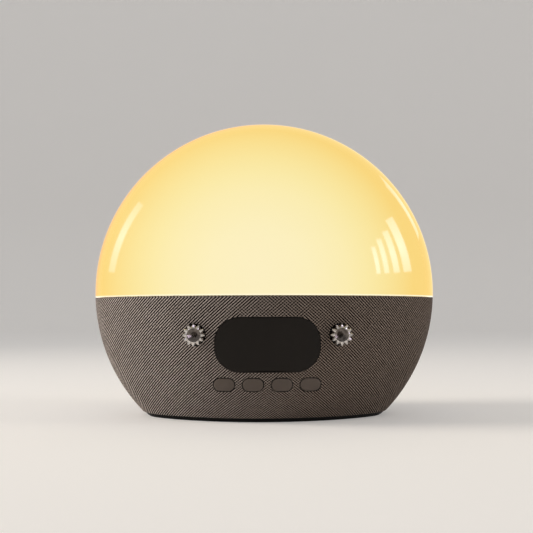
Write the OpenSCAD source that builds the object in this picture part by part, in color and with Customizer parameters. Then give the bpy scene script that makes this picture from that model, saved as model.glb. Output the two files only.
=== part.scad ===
// Sunrise alarm clock: an opal light dome on a fabric-covered speaker base, in millimetres.
// +Z is up, the front faces -Y, and the origin is on the table under the middle of the body.
// The body is a pebble: one oval profile turned about the front-to-back axis, so that it is round
// from the front and lens-shaped from the side. Two level cuts make its seam and its flat bottom.

/* [Body] */
// Width of the round outline
body_w = 205; // [199:1:211]
// Depth from front to back at the middle
body_d = 124; // [121:1:130]
// Radius of the edge between the front and the back
rim_r = 30.7; // [29:0.1:33]
// Height of the outline's centre above the table
centre_h = 74.2; // [73:0.1:76]
// Drop of the seam below the outline's centre
seam_drop = 3.7; // [3:0.1:5]

/* [Shells] */
// Wall of the light dome
dome_wall = 2.4; // [2:0.1:3]
// Wall of the base housing
housing_wall = 2.4; // [2:0.1:3]
// Thickness of the fabric cover
fabric_t = 1; // [0.7:0.1:1.3]
// Glue line between the fabric and the housing
glue_gap = 0.1; // [0.05:0.05:0.2]
// Gap between the dome's edge and the fabric's edge
seam_gap = 0.3; // [0.2:0.1:0.6]
// Clearance of plates that drop into the housing
drop_in_gap = 0.4; // [0.3:0.1:0.6]

/* [Foot] */
// Height of the rubber ring below the base plate
foot_show = 0.8; // [0.6:0.1:1.2]
// Depth of the groove that holds the rubber ring
foot_groove = 0.8; // [0.5:0.1:0.9]
// Width of the rubber ring
foot_w = 5; // [4:0.5:6]
// Distance of the rubber ring from the base plate's edge
foot_inset = 3; // [2:0.5:4]
// Side clearance of the ring in its groove
foot_gap = 0.1; // [0.05:0.05:0.2]
// Thickness of the base plate
base_plate_t = 1.6; // [1.5:0.1:2]
// Set-back of the base plate's edge under the fabric
base_plate_inset = 0.6; // [0.4:0.1:0.9]
// Thickness of the housing's floor ring
floor_t = 2; // [1.6:0.2:2.6]
// Gap between the main board and the opening in the floor ring, front and back
floor_hole_gap = 2; // [1.6:0.1:4]
// Corner radius of the opening in the floor ring
floor_hole_r = 6; // [4:1:7]
// Distance of the base screws from the rubber ring
base_screw_in = 7.8; // [7.6:0.1:9]

/* [Display] */
// Width of the window
window_w = 57; // [54:0.5:58]
// Height of the window
window_h = 29.6; // [28:0.1:31]
// Corner radius of the window
window_r = 13.4; // [12:0.1:13.9]
// Thickness of the window
window_t = 2; // [1.6:0.1:2.2]
// Height of the window's middle above the table
window_z = 43.8; // [43.4:0.1:45]
// Gap around the window
window_gap = 0.15; // [0.1:0.05:0.3]
// Width of the ledge behind the window's edge
window_ledge = 2.5; // [2:0.1:3]
// Wall of the light baffle
baffle_wall = 1.5; // [1:0.1:2]
// Width of the digit block
digits_w = 44; // [42:0.5:45]
// Height of the digit block
digits_h = 17; // [15:0.5:18]
// Thickness of the digit block
digits_t = 8; // [7:0.5:9]
// Height of one digit's cell
digit_cell_h = 12; // [11:0.5:14]
// Width of one digit's cell
digit_cell_w = 8; // [7:0.2:9]

/* [Buttons] */
// Width of a button's face
button_w = 11.5; // [10.5:0.1:12]
// Height of a button's face
button_h = 7.2; // [6.5:0.1:7.6]
// Distance between neighbouring buttons
button_pitch = 15.7; // [15:0.1:16]
// Height of the buttons above the table
button_z = 21.9; // [21.6:0.1:22.4]
// Gap around a button's face
button_gap = 0.22; // [0.18:0.02:0.3]
// How far a button stands out of the fabric
button_proud = 0.3; // [0.1:0.1:0.6]
// Travel of a button
button_travel = 0.5; // [0.3:0.1:0.6]
// Width of the flange that keeps a button in
button_lip = 0.8; // [0.6:0.1:1]
// Thickness of that flange
button_lip_t = 1; // [0.8:0.1:1.3]
// Wall of the sleeve that guides a button
sleeve_wall = 1.2; // [0.9:0.1:1.3]
// Diameter of a button's post
post_d = 4; // [3.6:0.2:4.4]
// Length of a button's post
post_l = 1; // [0.9:0.1:1.4]
// Side of a switch's body
switch_w = 6; // [5.6:0.2:6.2]
// Thickness of a switch's body
switch_t = 3.5; // [3.4:0.1:4]
// Diameter of a switch's stem
stem_d = 3.4; // [3:0.1:3.6]
// How far a switch's stem stands out
stem_out = 1; // [0.9:0.1:1.4]
// Length of a switch's stem inside the body
stem_in = 1.5; // [1.2:0.1:1.7]

/* [Knobs] */
// Diameter of a knob over its teeth
knob_d = 11.9; // [11:0.1:12.4]
// Depth of a knob's teeth
tooth_h = 1; // [0.7:0.1:1.3]
// Number of teeth round a knob
tooth_count = 12; // [10:1:16]
// Length of a knob
knob_l = 10.8; // [10.2:0.1:11.4]
// How far a knob stands out of the fabric
knob_out = 8; // [7.6:0.1:8.4]
// Distance of the knobs from the middle
knob_x = 39.4; // [38.8:0.1:40.5]
// Height of the knobs above the table
knob_z = 49.2; // [48:0.1:50.5]
// Travel of a knob that is pressed
knob_press = 0.5; // [0.3:0.1:0.6]
// Gap around a knob
knob_gap = 0.6; // [0.5:0.1:0.8]
// Wall of the well behind a knob
well_wall = 1.5; // [1:0.1:1.8]
// Thickness of the well's floor
well_floor = 1.4; // [1.2:0.1:1.8]
// Diameter of the dish in a knob's face
dish_d = 7.6; // [7:0.1:8.2]
// Depth of the dish in a knob's face
dish_depth = 1.9; // [1.5:0.1:2.3]
// Diameter of a knob's shaft
shaft_d = 6; // [5.6:0.1:6.2]
// Depth of the flat on a shaft
shaft_flat = 1.5; // [1.2:0.1:1.8]
// Radial clearance of a running shaft
running_gap = 0.05; // [0.03:0.01:0.08]
// Radial clearance of a pressed-on knob
press_gap = 0.02; // [0.01:0.01:0.04]
// Side of an encoder's body
encoder_w = 11.7; // [11.2:0.1:12.2]
// Thickness of an encoder's plastic base
encoder_base_t = 3.5; // [3.3:0.1:4]
// Thickness of an encoder's metal can
encoder_can_t = 3; // [2.8:0.1:3.4]
// Diameter of an encoder's bushing
bushing_d = 7; // [6.8:0.1:7.4]

/* [Speaker] */
// Diameter of the speaker's flange
speaker_d = 55; // [54:0.5:56]
// Height of the speaker's middle above the table
speaker_z = 36; // [35.5:0.1:36.5]
// Travel of the cone each way
cone_travel = 1.2; // [0.8:0.1:1.5]
// Thickness of the foam gasket
gasket_t = 1; // [0.8:0.1:1.3]
// Thickness of the speaker's flange
flange_t = 1.2; // [1:0.1:1.5]
// Outer diameter of the magnet
magnet_d = 36; // [34:0.5:37]
// Thickness of the magnet
magnet_t = 8; // [7:0.5:9]
// Diameter of the voice coil's bore
coil_d = 15.4; // [15:0.1:16]
// Wall of the voice coil
coil_wall = 0.7; // [0.5:0.1:0.8]
// Gap on each side of the voice coil
coil_gap = 0.5; // [0.4:0.1:0.6]
// Height of a slot in the speaker grille
grille_slot_h = 3; // [2.5:0.1:3.4]
// Length of a slot in the speaker grille
grille_slot_w = 32; // [28:1:34]
// Distance between the slots
grille_pitch = 6; // [5.6:0.1:6.4]

/* [Light] */
// Thickness of the white reflector tray
tray_t = 2; // [1.8:0.1:2.4]
// Thickness of the aluminium heat spreader
spreader_t = 1.5; // [1.2:0.1:1.6]
// Overlap of the spreader under the tray
spreader_lap = 6; // [5:0.5:6.5]
// Length of the LED board
led_board_w = 120; // [114:1:124]
// Depth of the LED board
led_board_d = 54; // [50:1:58]
// Gap between the LED board and the tray around it
led_board_gap = 5; // [4:0.5:6]
// Side of an LED
led_w = 3.5; // [3:0.1:4]
// Height of an LED
led_t = 0.9; // [0.7:0.1:1.2]
// LEDs in one row
led_columns = 9; // [7:1:10]
// Distance between LEDs along a row
led_pitch = 12; // [11:0.5:12.5]
// Rows of LEDs
led_rows = 3; // [2:1:3]
// Distance between rows of LEDs
led_row_pitch = 15; // [13:1:16]
// Distance of the dome's screw lugs from the side of the outline
lug_in = 22.5; // [21.5:0.5:24.5]
// Width of a screw lug
lug_w = 10; // [9:0.5:11]
// Thickness of a screw lug
lug_t = 3; // [2.5:0.1:3.5]

/* [Boards] */
// Thickness of the circuit boards
board_t = 1.6; // [1.2:0.1:1.7]
// Distance of the control board's front from the middle plane
control_y = 34; // [33.5:0.1:34.5]
// Width of the control board
control_w = 104; // [100:1:106]
// Lower edge of the control board
control_z0 = 14.5; // [14:0.1:15]
// Gap between the control board and the tray above it
control_top_gap = 3; // [2.6:0.1:3.4]
// Length of the main board
main_w = 72; // [68:1:74]
// Depth of the main board
main_d = 36; // [35:0.5:37]
// Height of the main board's lower face above the table
main_z = 8; // [7.6:0.1:8.2]

/* [Inlet] */
// Distance of the power inlet from the middle
inlet_x = 44; // [43:0.5:45]
// Height of the power inlet above the table
inlet_z = 18; // [17.5:0.1:18.5]
// Diameter of the plug's barrel
inlet_bore_d = 5.5; // [5.3:0.1:5.7]
// Diameter of the inlet's centre pin
inlet_pin_d = 2.1; // [2:0.05:2.5]
// Depth of the inlet's bore
inlet_depth = 9.5; // [9:0.5:10]
// Length of the inlet's body behind its flange
inlet_l = 13; // [12:0.5:13.5]
// Diameter of the inlet's thread
inlet_thread_d = 8; // [7.8:0.1:8.4]
// Diameter of the inlet's flange
inlet_flange_d = 10.6; // [10:0.1:11]
// Thickness of the inlet's flange
inlet_flange_t = 1.5; // [1.2:0.1:1.7]
// Diameter of the recess round the inlet
inlet_recess_d = 12.4; // [12:0.1:13]
// Depth of the recess, from the fabric to the inlet's seat
inlet_recess = 5; // [4.6:0.1:5.2]

/* [Screws] */
// Diameter of the screws
screw_d = 2.6; // [2.4:0.1:2.7]
// Diameter of a screw's head
screw_head_d = 4.6; // [4.4:0.1:4.8]
// Thickness of a screw's head
screw_head_t = 1.6; // [1.4:0.1:1.8]
// Clearance of a screw in its bore, across the diameter
screw_gap = 0.1; // [0.05:0.05:0.15]
// Clearance of a screw in a plate, across the diameter
screw_free = 0.4; // [0.3:0.1:0.5]

/* [Leads] */
// Diameter of the sleeved leads
lead_d = 2.4; // [2:0.1:2.6]
// Width of the ribbon cable
ribbon_w = 14; // [12:0.5:15]
// Thickness of the ribbon cable
ribbon_t = 0.6; // [0.5:0.1:0.8]
// Inner bend radius of the ribbon cable
ribbon_bend = 4.7; // [4:0.1:5]

/* [Hidden] */
$fn = 96;

// Cuts reach this far past the faces that they open
over = 1;

// Body
body_r = body_w / 2;
body_half_d = body_d / 2;
face_r = (pow(body_r, 2) + pow(body_half_d, 2) - 2 * body_r * rim_r) / (2 * (body_half_d - rim_r));
face_sink = face_r - body_half_d;
seam_z = centre_h - seam_drop;
cover_z = seam_z - seam_gap;
base_z = foot_show + base_plate_t;
cover_in = fabric_t + glue_gap;
inner_in = cover_in + housing_wall;
mid_in = cover_in + housing_wall / 2;
bottom_drop = centre_h - base_z;
section_w = 2 * sqrt(pow(body_r, 2) - pow(bottom_drop, 2));
section_d = 2 * (sqrt(pow(face_r, 2) - pow(bottom_drop, 2)) - face_sink);
section_r = rim_r * section_w / body_w;
foot_edge = base_plate_inset + foot_inset;

// Half depth of the body's face at a place seen from the front, a distance under the surface
function face_y(x, z, inset) =
    sqrt(pow(face_r - inset, 2) - x * x - pow(z - centre_h, 2)) - face_sink;

// Clearances that several pieces share
stop_gap = 0.05;
seat_gap = 0.1;
lip_room = 0.3;

// Buttons, counted forwards from the control board
switch_front_y = -control_y - switch_t;
stem_tip_y = switch_front_y - stem_out;
stem_spare = 0.5;
stem_room = button_travel + stem_spare;
button_back_y = stem_tip_y - post_l;
button_lip_y = button_back_y - button_lip_t;
sleeve_end_y = button_lip_y - stop_gap;
button_xs = [for (i = [-1.5:1.5]) i * button_pitch];
button_row_w = 3 * button_pitch + button_w;

// Knobs and encoders
knob_xs = [-knob_x, knob_x];
encoder_can_y = -control_y - encoder_base_t;
encoder_front_y = encoder_can_y - encoder_can_t;
knob_tip_y = -face_y(knob_x, knob_z, 0) - knob_out;
knob_back_y = knob_tip_y + knob_l;
well_room = 0.5;
well_y = knob_back_y + knob_press + well_room;
bushing_drop = 0.2;
bushing_end_y = well_y + bushing_drop;
dish_floor = 1.8;
shaft_tip_y = knob_tip_y + dish_depth + dish_floor;
knob_bore_end_y = shaft_tip_y - stop_gap;
can_wall = 1;
rotor_gap = 0.2;
rotor_t = 1;
rotor_d = encoder_w - 2 * (can_wall + rotor_gap);
rotor_y = encoder_front_y + can_wall + rotor_gap;
collar_d = 7.4;
collar_t = 0.9;
collar_step = 0.3;
collar_y = encoder_can_y - collar_step;
collar_room = 0.4;
shaft_end_y = collar_y + collar_t;
encoder_well_y = shaft_end_y + knob_press + lip_room;
tooth_half = 0.3;

// Window and digit block
window_proud = 0.1;
window_in = window_t + seat_gap;
window_hole_w = window_w - 2 * window_ledge;
window_hole_h = window_h - 2 * window_ledge;
window_hole_r = window_r - window_ledge;
digits_y = -control_y - digits_t;
digit_cell_depth = 0.5;
digit_pitch = digits_w / 4.1;

// Speaker, counted forwards from its seat on the housing
speaker_r = speaker_d / 2;
speaker_lap = 6;
speaker_edge = 0.5;
ring_wall_r = speaker_r + speaker_edge;
ring_hole_r = speaker_r - speaker_lap;
ring_depth = 3;
speaker_seat_y = face_y(0, speaker_z - speaker_r, inner_in) - ring_depth;
flange_y = speaker_seat_y - gasket_t;
flange_back_y = flange_y - flange_t;
surround_lip_w = 2.2;
flange_hole_r = ring_hole_r - 1;
surround_lip_r = flange_hole_r + surround_lip_w;
roll_r = 1.9;
roll_lap = 0.7;
film_t = 0.4;
roll_mid_r = flange_hole_r - roll_r + roll_lap;
cone_r = roll_mid_r - roll_r;
coil_r = coil_d / 2 + coil_wall;
cone_depth = 9.4;
cone_t = 0.6;
cone_rim = 0.5;
coil_lap = 0.4;
coil_front_y = flange_y - cone_depth + coil_lap;
spider_depth = 12.4;
spider_y = flange_y - spider_depth;
basket_depth = 16.2;
basket_wall = 1.2;
basket_edge = 0.5;
basket_back_y = flange_y - basket_depth;
basket_back_r = magnet_d / 2 + basket_edge;
basket_front_r = flange_hole_r + basket_wall + lip_room;
basket_hole_r = coil_r + coil_gap + basket_edge;
basket_window_y = spider_y + 2 * basket_wall;
basket_window_d = 6;
basket_window_w = 10;
top_plate_t = 2.5;
top_plate_y = basket_back_y - top_plate_t;
magnet_y = top_plate_y - magnet_t;
magnet_edge = 2;
yoke_t = 2.5;
yoke_y = magnet_y - yoke_t;
coil_spare = 2.1;
coil_back_y = top_plate_y - cone_travel - coil_spare;
pole_r = coil_d / 2 - coil_gap;
gap_r = coil_r + coil_gap;
bolt_edge = 2.8;
speaker_bolt_r = speaker_r - bolt_edge;
terminal_size = [4.5, 5, 6];
terminal_depth = 10;
terminal_out = 1.3;
terminal_y = flange_y - terminal_depth;
terminal_x = basket_front_r + terminal_out;
grille_side_rows = 2;

// Light
tray_z = seam_z - tray_t;
spreader_z = tray_z - spreader_t;
led_z = tray_z + board_t;
board_corner = 2;
tray_hole_w = led_board_w + 2 * led_board_gap;
tray_hole_d = led_board_d + 2 * led_board_gap;
tray_hole_r = tray_hole_d / 2 - board_corner;
spreader_w = tray_hole_w + 2 * spreader_lap;
spreader_d = tray_hole_d + 2 * spreader_lap;
lug_x = body_r - lug_in;
lug_wall_gap = 3;
lug_y = face_y(lug_x, seam_z, inner_in) - lug_wall_gap;
tray_boss_d = 8;
tray_boss_l = 14;
spreader_screw_x = tray_hole_w / 2 + spreader_lap / 2;
spreader_screw_y = 8;
led_screw_in = 6;
led_lead_in = 10;
led_screw_x = led_board_w / 2 - led_screw_in;
led_lead_x = led_board_w / 2 - led_lead_in;

// Screws and bosses
bore_d = screw_d + screw_gap;
free_d = screw_d + screw_free;
screw_l = 8;
short_screw_l = 5;
bore_spare = 0.5;
slot_w = 0.7;
slot_l = 2.6;
head_room = 0.3;
boss_d = 6;
base_boss_d = 10;
base_boss_h = 12;
base_cup_d = 7.4;
base_cup_gap = 0.2;
base_cup_h = 2;
base_screw_x = section_w / 2 - foot_edge - foot_w - base_screw_in;
base_screw_y = 7;
base_head_z = foot_show + screw_head_t + head_room;
boss_gap = 0.5;
floor_hole_w = 2 * (base_screw_x - base_boss_d / 2 - boss_gap);
floor_hole_d = main_d + 2 * floor_hole_gap;
control_z1 = tray_z - control_top_gap;
control_edge_gap = 1;
board_back_y = -control_y + board_t;
hole_edge = 3.5;
control_top_x = control_w / 2 - hole_edge;
control_top_z = control_z1 - hole_edge;
control_low_x = button_row_w / 2 + button_gap + sleeve_wall + boss_d / 2 + lip_room;
control_low_rise = 3;
control_low_z = button_z + control_low_rise;
main_top_z = main_z + board_t;
main_screw_x = main_w / 2 - hole_edge;
main_screw_y = main_d / 2 - hole_edge;

// Inlet
inlet_seat_y = face_y(inlet_x, inlet_z, 0) - inlet_recess;
inlet_front_y = inlet_seat_y + inlet_flange_t;
inlet_back_y = inlet_seat_y - inlet_l;
inlet_floor_t = 2;
inlet_floor_y = inlet_seat_y - inlet_floor_t;
inlet_wall = 1.4;
pin_drop = 0.5;
nut_t = 2;
nut_d = 11.4;

// Plugs on the main board: low corner and size of each, and the middle of its top
plug_size = [6, 5, 5];
plug_edge = 4;
led_plug = [-main_w / 2 + plug_edge, -11, main_top_z];
speaker_plug = [-main_w / 2 + plug_edge, 6.5, main_top_z];
dc_plug = [main_w / 2 - plug_edge - plug_size[0], 4, main_top_z];
function plug_top(corner) = corner + [plug_size[0] / 2, plug_size[1] / 2, plug_size[2]];
ribbon_plug_w = ribbon_w + 2;
ribbon_plug_d = 4;
ribbon_plug_h = 4;
ribbon_socket_t = 2.6;
ribbon_top_z = 22;
ribbon_low_z = main_top_z + ribbon_plug_h / 2;
ribbon_plug_y = -16;
ribbon_y = -control_y + board_t + ribbon_socket_t / 2;

// Blocks on the main board: low corner and size of each
radio_at = [9.5, -15.5, main_top_z];
radio_size = [20, 15, 2.6];
processor_at = [-12, -8, main_top_z];
processor_size = [10, 10, 1.2];
amplifier_at = [-20, 5, main_top_z];
amplifier_size = [7, 7, 1.2];
coil_block_at = [12, 3, main_top_z];
coil_block_size = [8, 8, 4];
capacitor_places = [[-20, -11], [0, 10]];
capacitor_d = 6.3;
capacitor_h = 5.4;

// Routes of the leads
lead_rise = 4;
led_route = [
    plug_top(led_plug), plug_top(led_plug) + [0, 0, lead_rise],
    [-35, -8, 32], [-43, -5, 46], [-led_lead_x + 1, -1, 57], [-led_lead_x, 0, 63], [-led_lead_x, 0, tray_z]
];
speaker_route = [
    [-terminal_x, terminal_y + terminal_size[1] / 2, speaker_z],
    [-terminal_x - 3, terminal_y + terminal_size[1] / 2, speaker_z],
    [-31, 26, 32], [-33, 20, 26], [-31, 13, 22],
    plug_top(speaker_plug) + [0, 0, lead_rise], plug_top(speaker_plug)
];
dc_route = [
    [inlet_x, inlet_back_y, inlet_z], [inlet_x, inlet_back_y - 3, inlet_z], [43, 15, 19], [38, 10, 21],
    [31, 7.5, 21], plug_top(dc_plug) + [0, 0, lead_rise], plug_top(dc_plug)
];
lead_sides = 10;
lead_rings = 18;

// ---------- shared shapes ----------

// Oval of two large arcs and two end arcs that meet smoothly
module oval(w, d, end_r) {
    half_w = w / 2;
    half_d = d / 2;
    side_r = (half_w * half_w + half_d * half_d - 2 * half_w * end_r) / (2 * (half_d - end_r));
    sink = side_r - half_d;
    meet = asin((half_w - end_r) / (side_r - end_r));
    meet_x = half_w - end_r + end_r * sin(meet);
    union() {
        intersection() {
            translate([0, -sink]) circle(r = side_r);
            translate([0, sink]) circle(r = side_r);
            square([2 * meet_x, 2 * d], center = true);
        }
        for (s = [-1, 1]) translate([s * (half_w - end_r), 0]) circle(r = end_r);
    }
}

// The body's solid, a distance under its surface
module pebble(inset) {
    translate([0, 0, centre_h]) rotate([90, 0, 0]) rotate_extrude() intersection() {
        oval(body_w - 2 * inset, body_d - 2 * inset, rim_r - inset);
        translate([0, -body_d]) square([body_w, 2 * body_d]);
    }
}

// Everything between two heights
module slab(z0, z1)
    translate([-body_w, -body_d, z0]) cube([2 * body_w, 2 * body_d, z1 - z0]);

// An upright cylinder between two heights
module upright(d, z0, z1) translate([0, 0, z0]) cylinder(d = d, h = z1 - z0);

// An upright block with rounded corners between two heights
module plate(w, d, r, z0, z1) translate([0, 0, z0]) linear_extrude(z1 - z0) rounded(w, d, r);

// A flat shape seen from the front, drawn out from y0 to y1
module drawn_y(y0, y1)
    translate([0, y1, 0]) rotate([90, 0, 0]) linear_extrude(y1 - y0) children();

// Whatever is laid out as seen from the front, stood up at y
module seen_from_front(y) translate([0, y, 0]) rotate([90, 0, 0]) children();

// A profile of radius and y, turned about a front-to-back axis
module turned_y(x, z) translate([x, 0, z]) rotate([-90, 0, 0]) rotate_extrude() children();

// A profile's rectangle from radius r0 to r1 and from y0 to y1
module ring_profile(r0, r1, y0, y1) translate([r0, y0]) square([r1 - r0, y1 - y0]);

module pill(w, h) {
    square([w - h, h], center = true);
    for (s = [-1, 1]) translate([s * (w - h) / 2, 0]) circle(d = h);
}

module rounded(w, h, r) {
    square([w - 2 * r, h], center = true);
    square([w, h - 2 * r], center = true);
    for (s = [-1, 1], t = [-1, 1]) translate([s * (w / 2 - r), t * (h / 2 - r)]) circle(r = r);
}

// Copies at the four corners of a rectangle about the middle
module corners(x, y) for (s = [-1, 1], t = [-1, 1]) translate([s * x, t * y, 0]) children();

// Places of the control board's four screws, seen from the front
module control_screw_places() {
    for (s = [-1, 1]) {
        translate([s * control_top_x, control_top_z]) children();
        translate([s * control_low_x, control_low_z]) children();
    }
}

// Places of the speaker's four screws, seen from behind its middle
module speaker_screw_places() {
    for (a = [45:90:315])
        translate([speaker_bolt_r * cos(a), speaker_z + speaker_bolt_r * sin(a)]) children();
}

// Round shaft with a flat, seen along its axis
module d_shape(r, flat_y) intersection() {
    circle(r = r);
    translate([-r, -r]) square([2 * r, r + flat_y]);
}

// A screw that points down, with the seat of its head at the origin
module screw(l) {
    upright(screw_d, -l, 0);
    difference() {
        cylinder(d = screw_head_d, h = screw_head_t);
        for (a = [0, 90]) rotate([0, 0, a])
            translate([-slot_l / 2, -slot_w / 2, screw_head_t / 2]) cube([slot_l, slot_w, screw_head_t]);
    }
}

// ---------- light dome ----------

module dome_diffuser() color("moccasin") difference() {
    union() {
        intersection() {
            difference() {
                pebble(0);
                pebble(dome_wall);
            }
            slab(seam_z, centre_h + body_w);
        }
        intersection() {
            pebble(dome_wall / 2);
            for (s = [-1, 1], t = [-1, 1])
                translate([s * lug_x - lug_w / 2, t > 0 ? lug_y - lug_w / 2 : -body_d / 2, seam_z])
                    cube([lug_w, body_d / 2 - lug_y + lug_w / 2, lug_t]);
        }
    }
    corners(lug_x, lug_y) upright(free_d, seam_z - over, seam_z + lug_t + over);
}

module reflector_tray() color("white") difference() {
    intersection() {
        pebble(inner_in + drop_in_gap);
        slab(tray_z, seam_z);
    }
    plate(tray_hole_w, tray_hole_d, tray_hole_r, tray_z - over, seam_z + over);
    corners(lug_x, lug_y) upright(free_d, tray_z - over, seam_z + over);
    corners(spreader_screw_x, spreader_screw_y) upright(free_d, tray_z - over, seam_z + over);
}

module heat_spreader() color("silver") difference() {
    plate(spreader_w, spreader_d, tray_hole_r + spreader_lap, spreader_z, tray_z);
    corners(spreader_screw_x, spreader_screw_y) upright(bore_d, spreader_z - over, tray_z + over);
    for (s = [-1, 1]) translate([s * led_screw_x, 0, 0]) upright(bore_d, spreader_z - over, tray_z + over);
    translate([-led_lead_x, 0, 0]) upright(lead_d + 1, spreader_z - over, tray_z + over);
}

module led_board() color("ghostwhite") difference() {
    plate(led_board_w, led_board_d, led_board_d / 2 - board_corner, tray_z, led_z);
    for (s = [-1, 1]) translate([s * led_screw_x, 0, 0]) upright(free_d, tray_z - over, led_z + over);
}

module leds() color("khaki")
    for (i = [0:led_columns - 1], j = [0:led_rows - 1])
        if (abs(i - (led_columns - 1) / 2) * led_pitch < led_screw_x - led_w
            || abs(j - (led_rows - 1) / 2) * led_row_pitch > led_w + screw_head_d / 2)
            translate([
                (i - (led_columns - 1) / 2) * led_pitch - led_w / 2,
                (j - (led_rows - 1) / 2) * led_row_pitch - led_w / 2,
                led_z
            ]) cube([led_w, led_w, led_t]);

module spreader_screws() color("dimgray")
    corners(spreader_screw_x, spreader_screw_y) translate([0, 0, seam_z]) screw(short_screw_l - 1);

module led_board_screws() color("dimgray")
    for (s = [-1, 1]) translate([s * led_screw_x, 0, led_z]) screw(short_screw_l - 1);

module dome_screws() color("dimgray")
    corners(lug_x, lug_y) translate([0, 0, seam_z + lug_t]) screw(lug_t + tray_t + screw_l);

// ---------- base ----------

module window_shape(grow) translate([0, window_z])
    rounded(window_w + 2 * grow, window_h + 2 * grow, window_r + grow);

module button_shapes(grow) for (x = button_xs)
    translate([x, button_z]) pill(button_w + 2 * grow, button_h + 2 * grow);

module knob_circles(d) for (x = knob_xs) translate([x, knob_z]) circle(d = d);

module inlet_circle(d) translate([inlet_x, inlet_z]) circle(d = d);

// Openings that pass through the fabric and the housing's outer face alike
module outer_openings() {
    drawn_y(-body_d, 0) button_shapes(button_gap);
    drawn_y(-body_d, well_y) knob_circles(knob_d + 2 * knob_gap);
    drawn_y(inlet_seat_y, body_d) inlet_circle(inlet_recess_d);
}

module fabric_cover() color("dimgray") difference() {
    intersection() {
        difference() {
            pebble(0);
            pebble(fabric_t);
        }
        slab(base_z, cover_z);
    }
    drawn_y(-body_d, 0) window_shape(window_gap);
    outer_openings();
}

// The housing's bosses, sleeves and wells, which end inside its wall
module housing_features() intersection() {
    pebble(mid_in);
    union() {
        corners(lug_x, lug_y) upright(tray_boss_d, tray_z - tray_boss_l, tray_z);
        drawn_y(-body_d, -control_y) control_screw_places() circle(d = boss_d);
        drawn_y(-body_d, sleeve_end_y) button_shapes(button_gap + sleeve_wall);
        drawn_y(-body_d, well_y + well_floor) knob_circles(knob_d + 2 * (knob_gap + well_wall));
        drawn_y(inlet_floor_y, body_d) inlet_circle(inlet_recess_d + 2 * inlet_wall);
        drawn_y(speaker_seat_y, body_d) translate([0, speaker_z]) circle(r = ring_wall_r);
    }
}

module housing_floor() intersection() {
    pebble(mid_in);
    union() {
        slab(base_z, base_z + floor_t);
        corners(base_screw_x, base_screw_y) upright(base_boss_d, base_z, base_z + base_boss_h);
    }
}

module base_housing() color("gray") difference() {
    union() {
        intersection() {
            difference() {
                pebble(cover_in);
                pebble(inner_in);
            }
            slab(base_z, cover_z);
        }
        housing_features();
        housing_floor();
    }
    // Floor opening, base screw cups and bores
    plate(floor_hole_w, floor_hole_d, floor_hole_r, base_z - over, base_z + floor_t + over);
    corners(base_screw_x, base_screw_y) {
        upright(base_cup_d + 2 * base_cup_gap, base_z - over, base_z + base_cup_h);
        upright(bore_d, base_z, base_z + base_cup_h + screw_l + bore_spare);
    }
    corners(lug_x, lug_y) upright(bore_d, tray_z - screw_l - bore_spare, tray_z + over);
    // Window, its ledge, and room for the buttons' flanges
    difference() {
        drawn_y(-body_d, 0) window_shape(window_gap);
        pebble(window_in);
    }
    drawn_y(-body_d, 0) translate([0, window_z]) rounded(window_hole_w, window_hole_h, window_hole_r);
    drawn_y(sleeve_end_y, -control_y) button_shapes(button_lip + lip_room);
    outer_openings();
    drawn_y(-body_d, 0) knob_circles(bushing_d + 2 * lip_room);
    drawn_y(0, body_d) inlet_circle(inlet_thread_d + 2 * seat_gap);
    drawn_y(inlet_back_y, inlet_floor_y) inlet_circle(nut_d + 2 * lip_room);
    // Control board screws, and the speaker's opening, grille and screws
    drawn_y(board_back_y - screw_l, -control_y + over) control_screw_places() circle(d = bore_d);
    intersection() {
        pebble(inner_in);
        drawn_y(speaker_seat_y - over, body_d) translate([0, speaker_z]) circle(r = ring_hole_r);
    }
    drawn_y(0, body_d) for (i = [-grille_side_rows:grille_side_rows])
        translate([0, speaker_z + i * grille_pitch]) pill(grille_slot_w, grille_slot_h);
    drawn_y(speaker_seat_y - over, speaker_seat_y + short_screw_l + bore_spare)
        speaker_screw_places() circle(d = bore_d);
}

module foot_outline(grow) {
    edge = foot_edge - grow;
    oval(section_w - 2 * edge, section_d - 2 * edge, section_r - edge);
}

// The rubber ring's shape, grown on both sides
module foot_shape(grow) difference() {
    foot_outline(grow);
    foot_outline(-foot_w - grow);
}

module base_plate() color("black") difference() {
    union() {
        intersection() {
            pebble(base_plate_inset);
            slab(foot_show, base_z);
        }
        corners(base_screw_x, base_screw_y) upright(base_cup_d, foot_show, base_z + base_cup_h);
        corners(main_screw_x, main_screw_y) upright(boss_d, foot_show, main_z);
    }
    translate([0, 0, foot_show - over]) linear_extrude(foot_groove + over) foot_shape(foot_gap);
    corners(base_screw_x, base_screw_y) {
        upright(screw_head_d + 2 * head_room, foot_show - over, base_head_z);
        upright(free_d, foot_show, base_z + base_cup_h + over);
    }
    corners(main_screw_x, main_screw_y) upright(bore_d, main_z - short_screw_l, main_z + over);
}

module foot_ring() color("black") linear_extrude(foot_show + foot_groove) foot_shape(0);

module base_screws() color("dimgray")
    corners(base_screw_x, base_screw_y) translate([0, 0, base_head_z])
        rotate([180, 0, 0]) screw(base_z + base_cup_h - base_head_z + screw_l);

// ---------- display ----------

module display_window() color("black") intersection() {
    difference() {
        pebble(-window_proud);
        pebble(window_t - window_proud);
    }
    drawn_y(-body_d, 0) window_shape(0);
}

module display_baffle() color("black") intersection() {
    pebble(inner_in + seat_gap);
    drawn_y(-body_d, -control_y) translate([0, window_z]) difference() {
        rounded(
            window_hole_w + 2 * baffle_wall, window_hole_h + 2 * baffle_wall, window_hole_r + baffle_wall
        );
        rounded(window_hole_w, window_hole_h, window_hole_r);
    }
}

module display_module() color("darkslategray") difference() {
    drawn_y(digits_y, -control_y) translate([0, window_z]) square([digits_w, digits_h], center = true);
    drawn_y(digits_y - over, digits_y + digit_cell_depth)
        for (i = [-1.5:1.5]) translate([i * digit_pitch, window_z])
            square([digit_cell_w, digit_cell_h], center = true);
}

// ---------- buttons ----------

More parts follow.
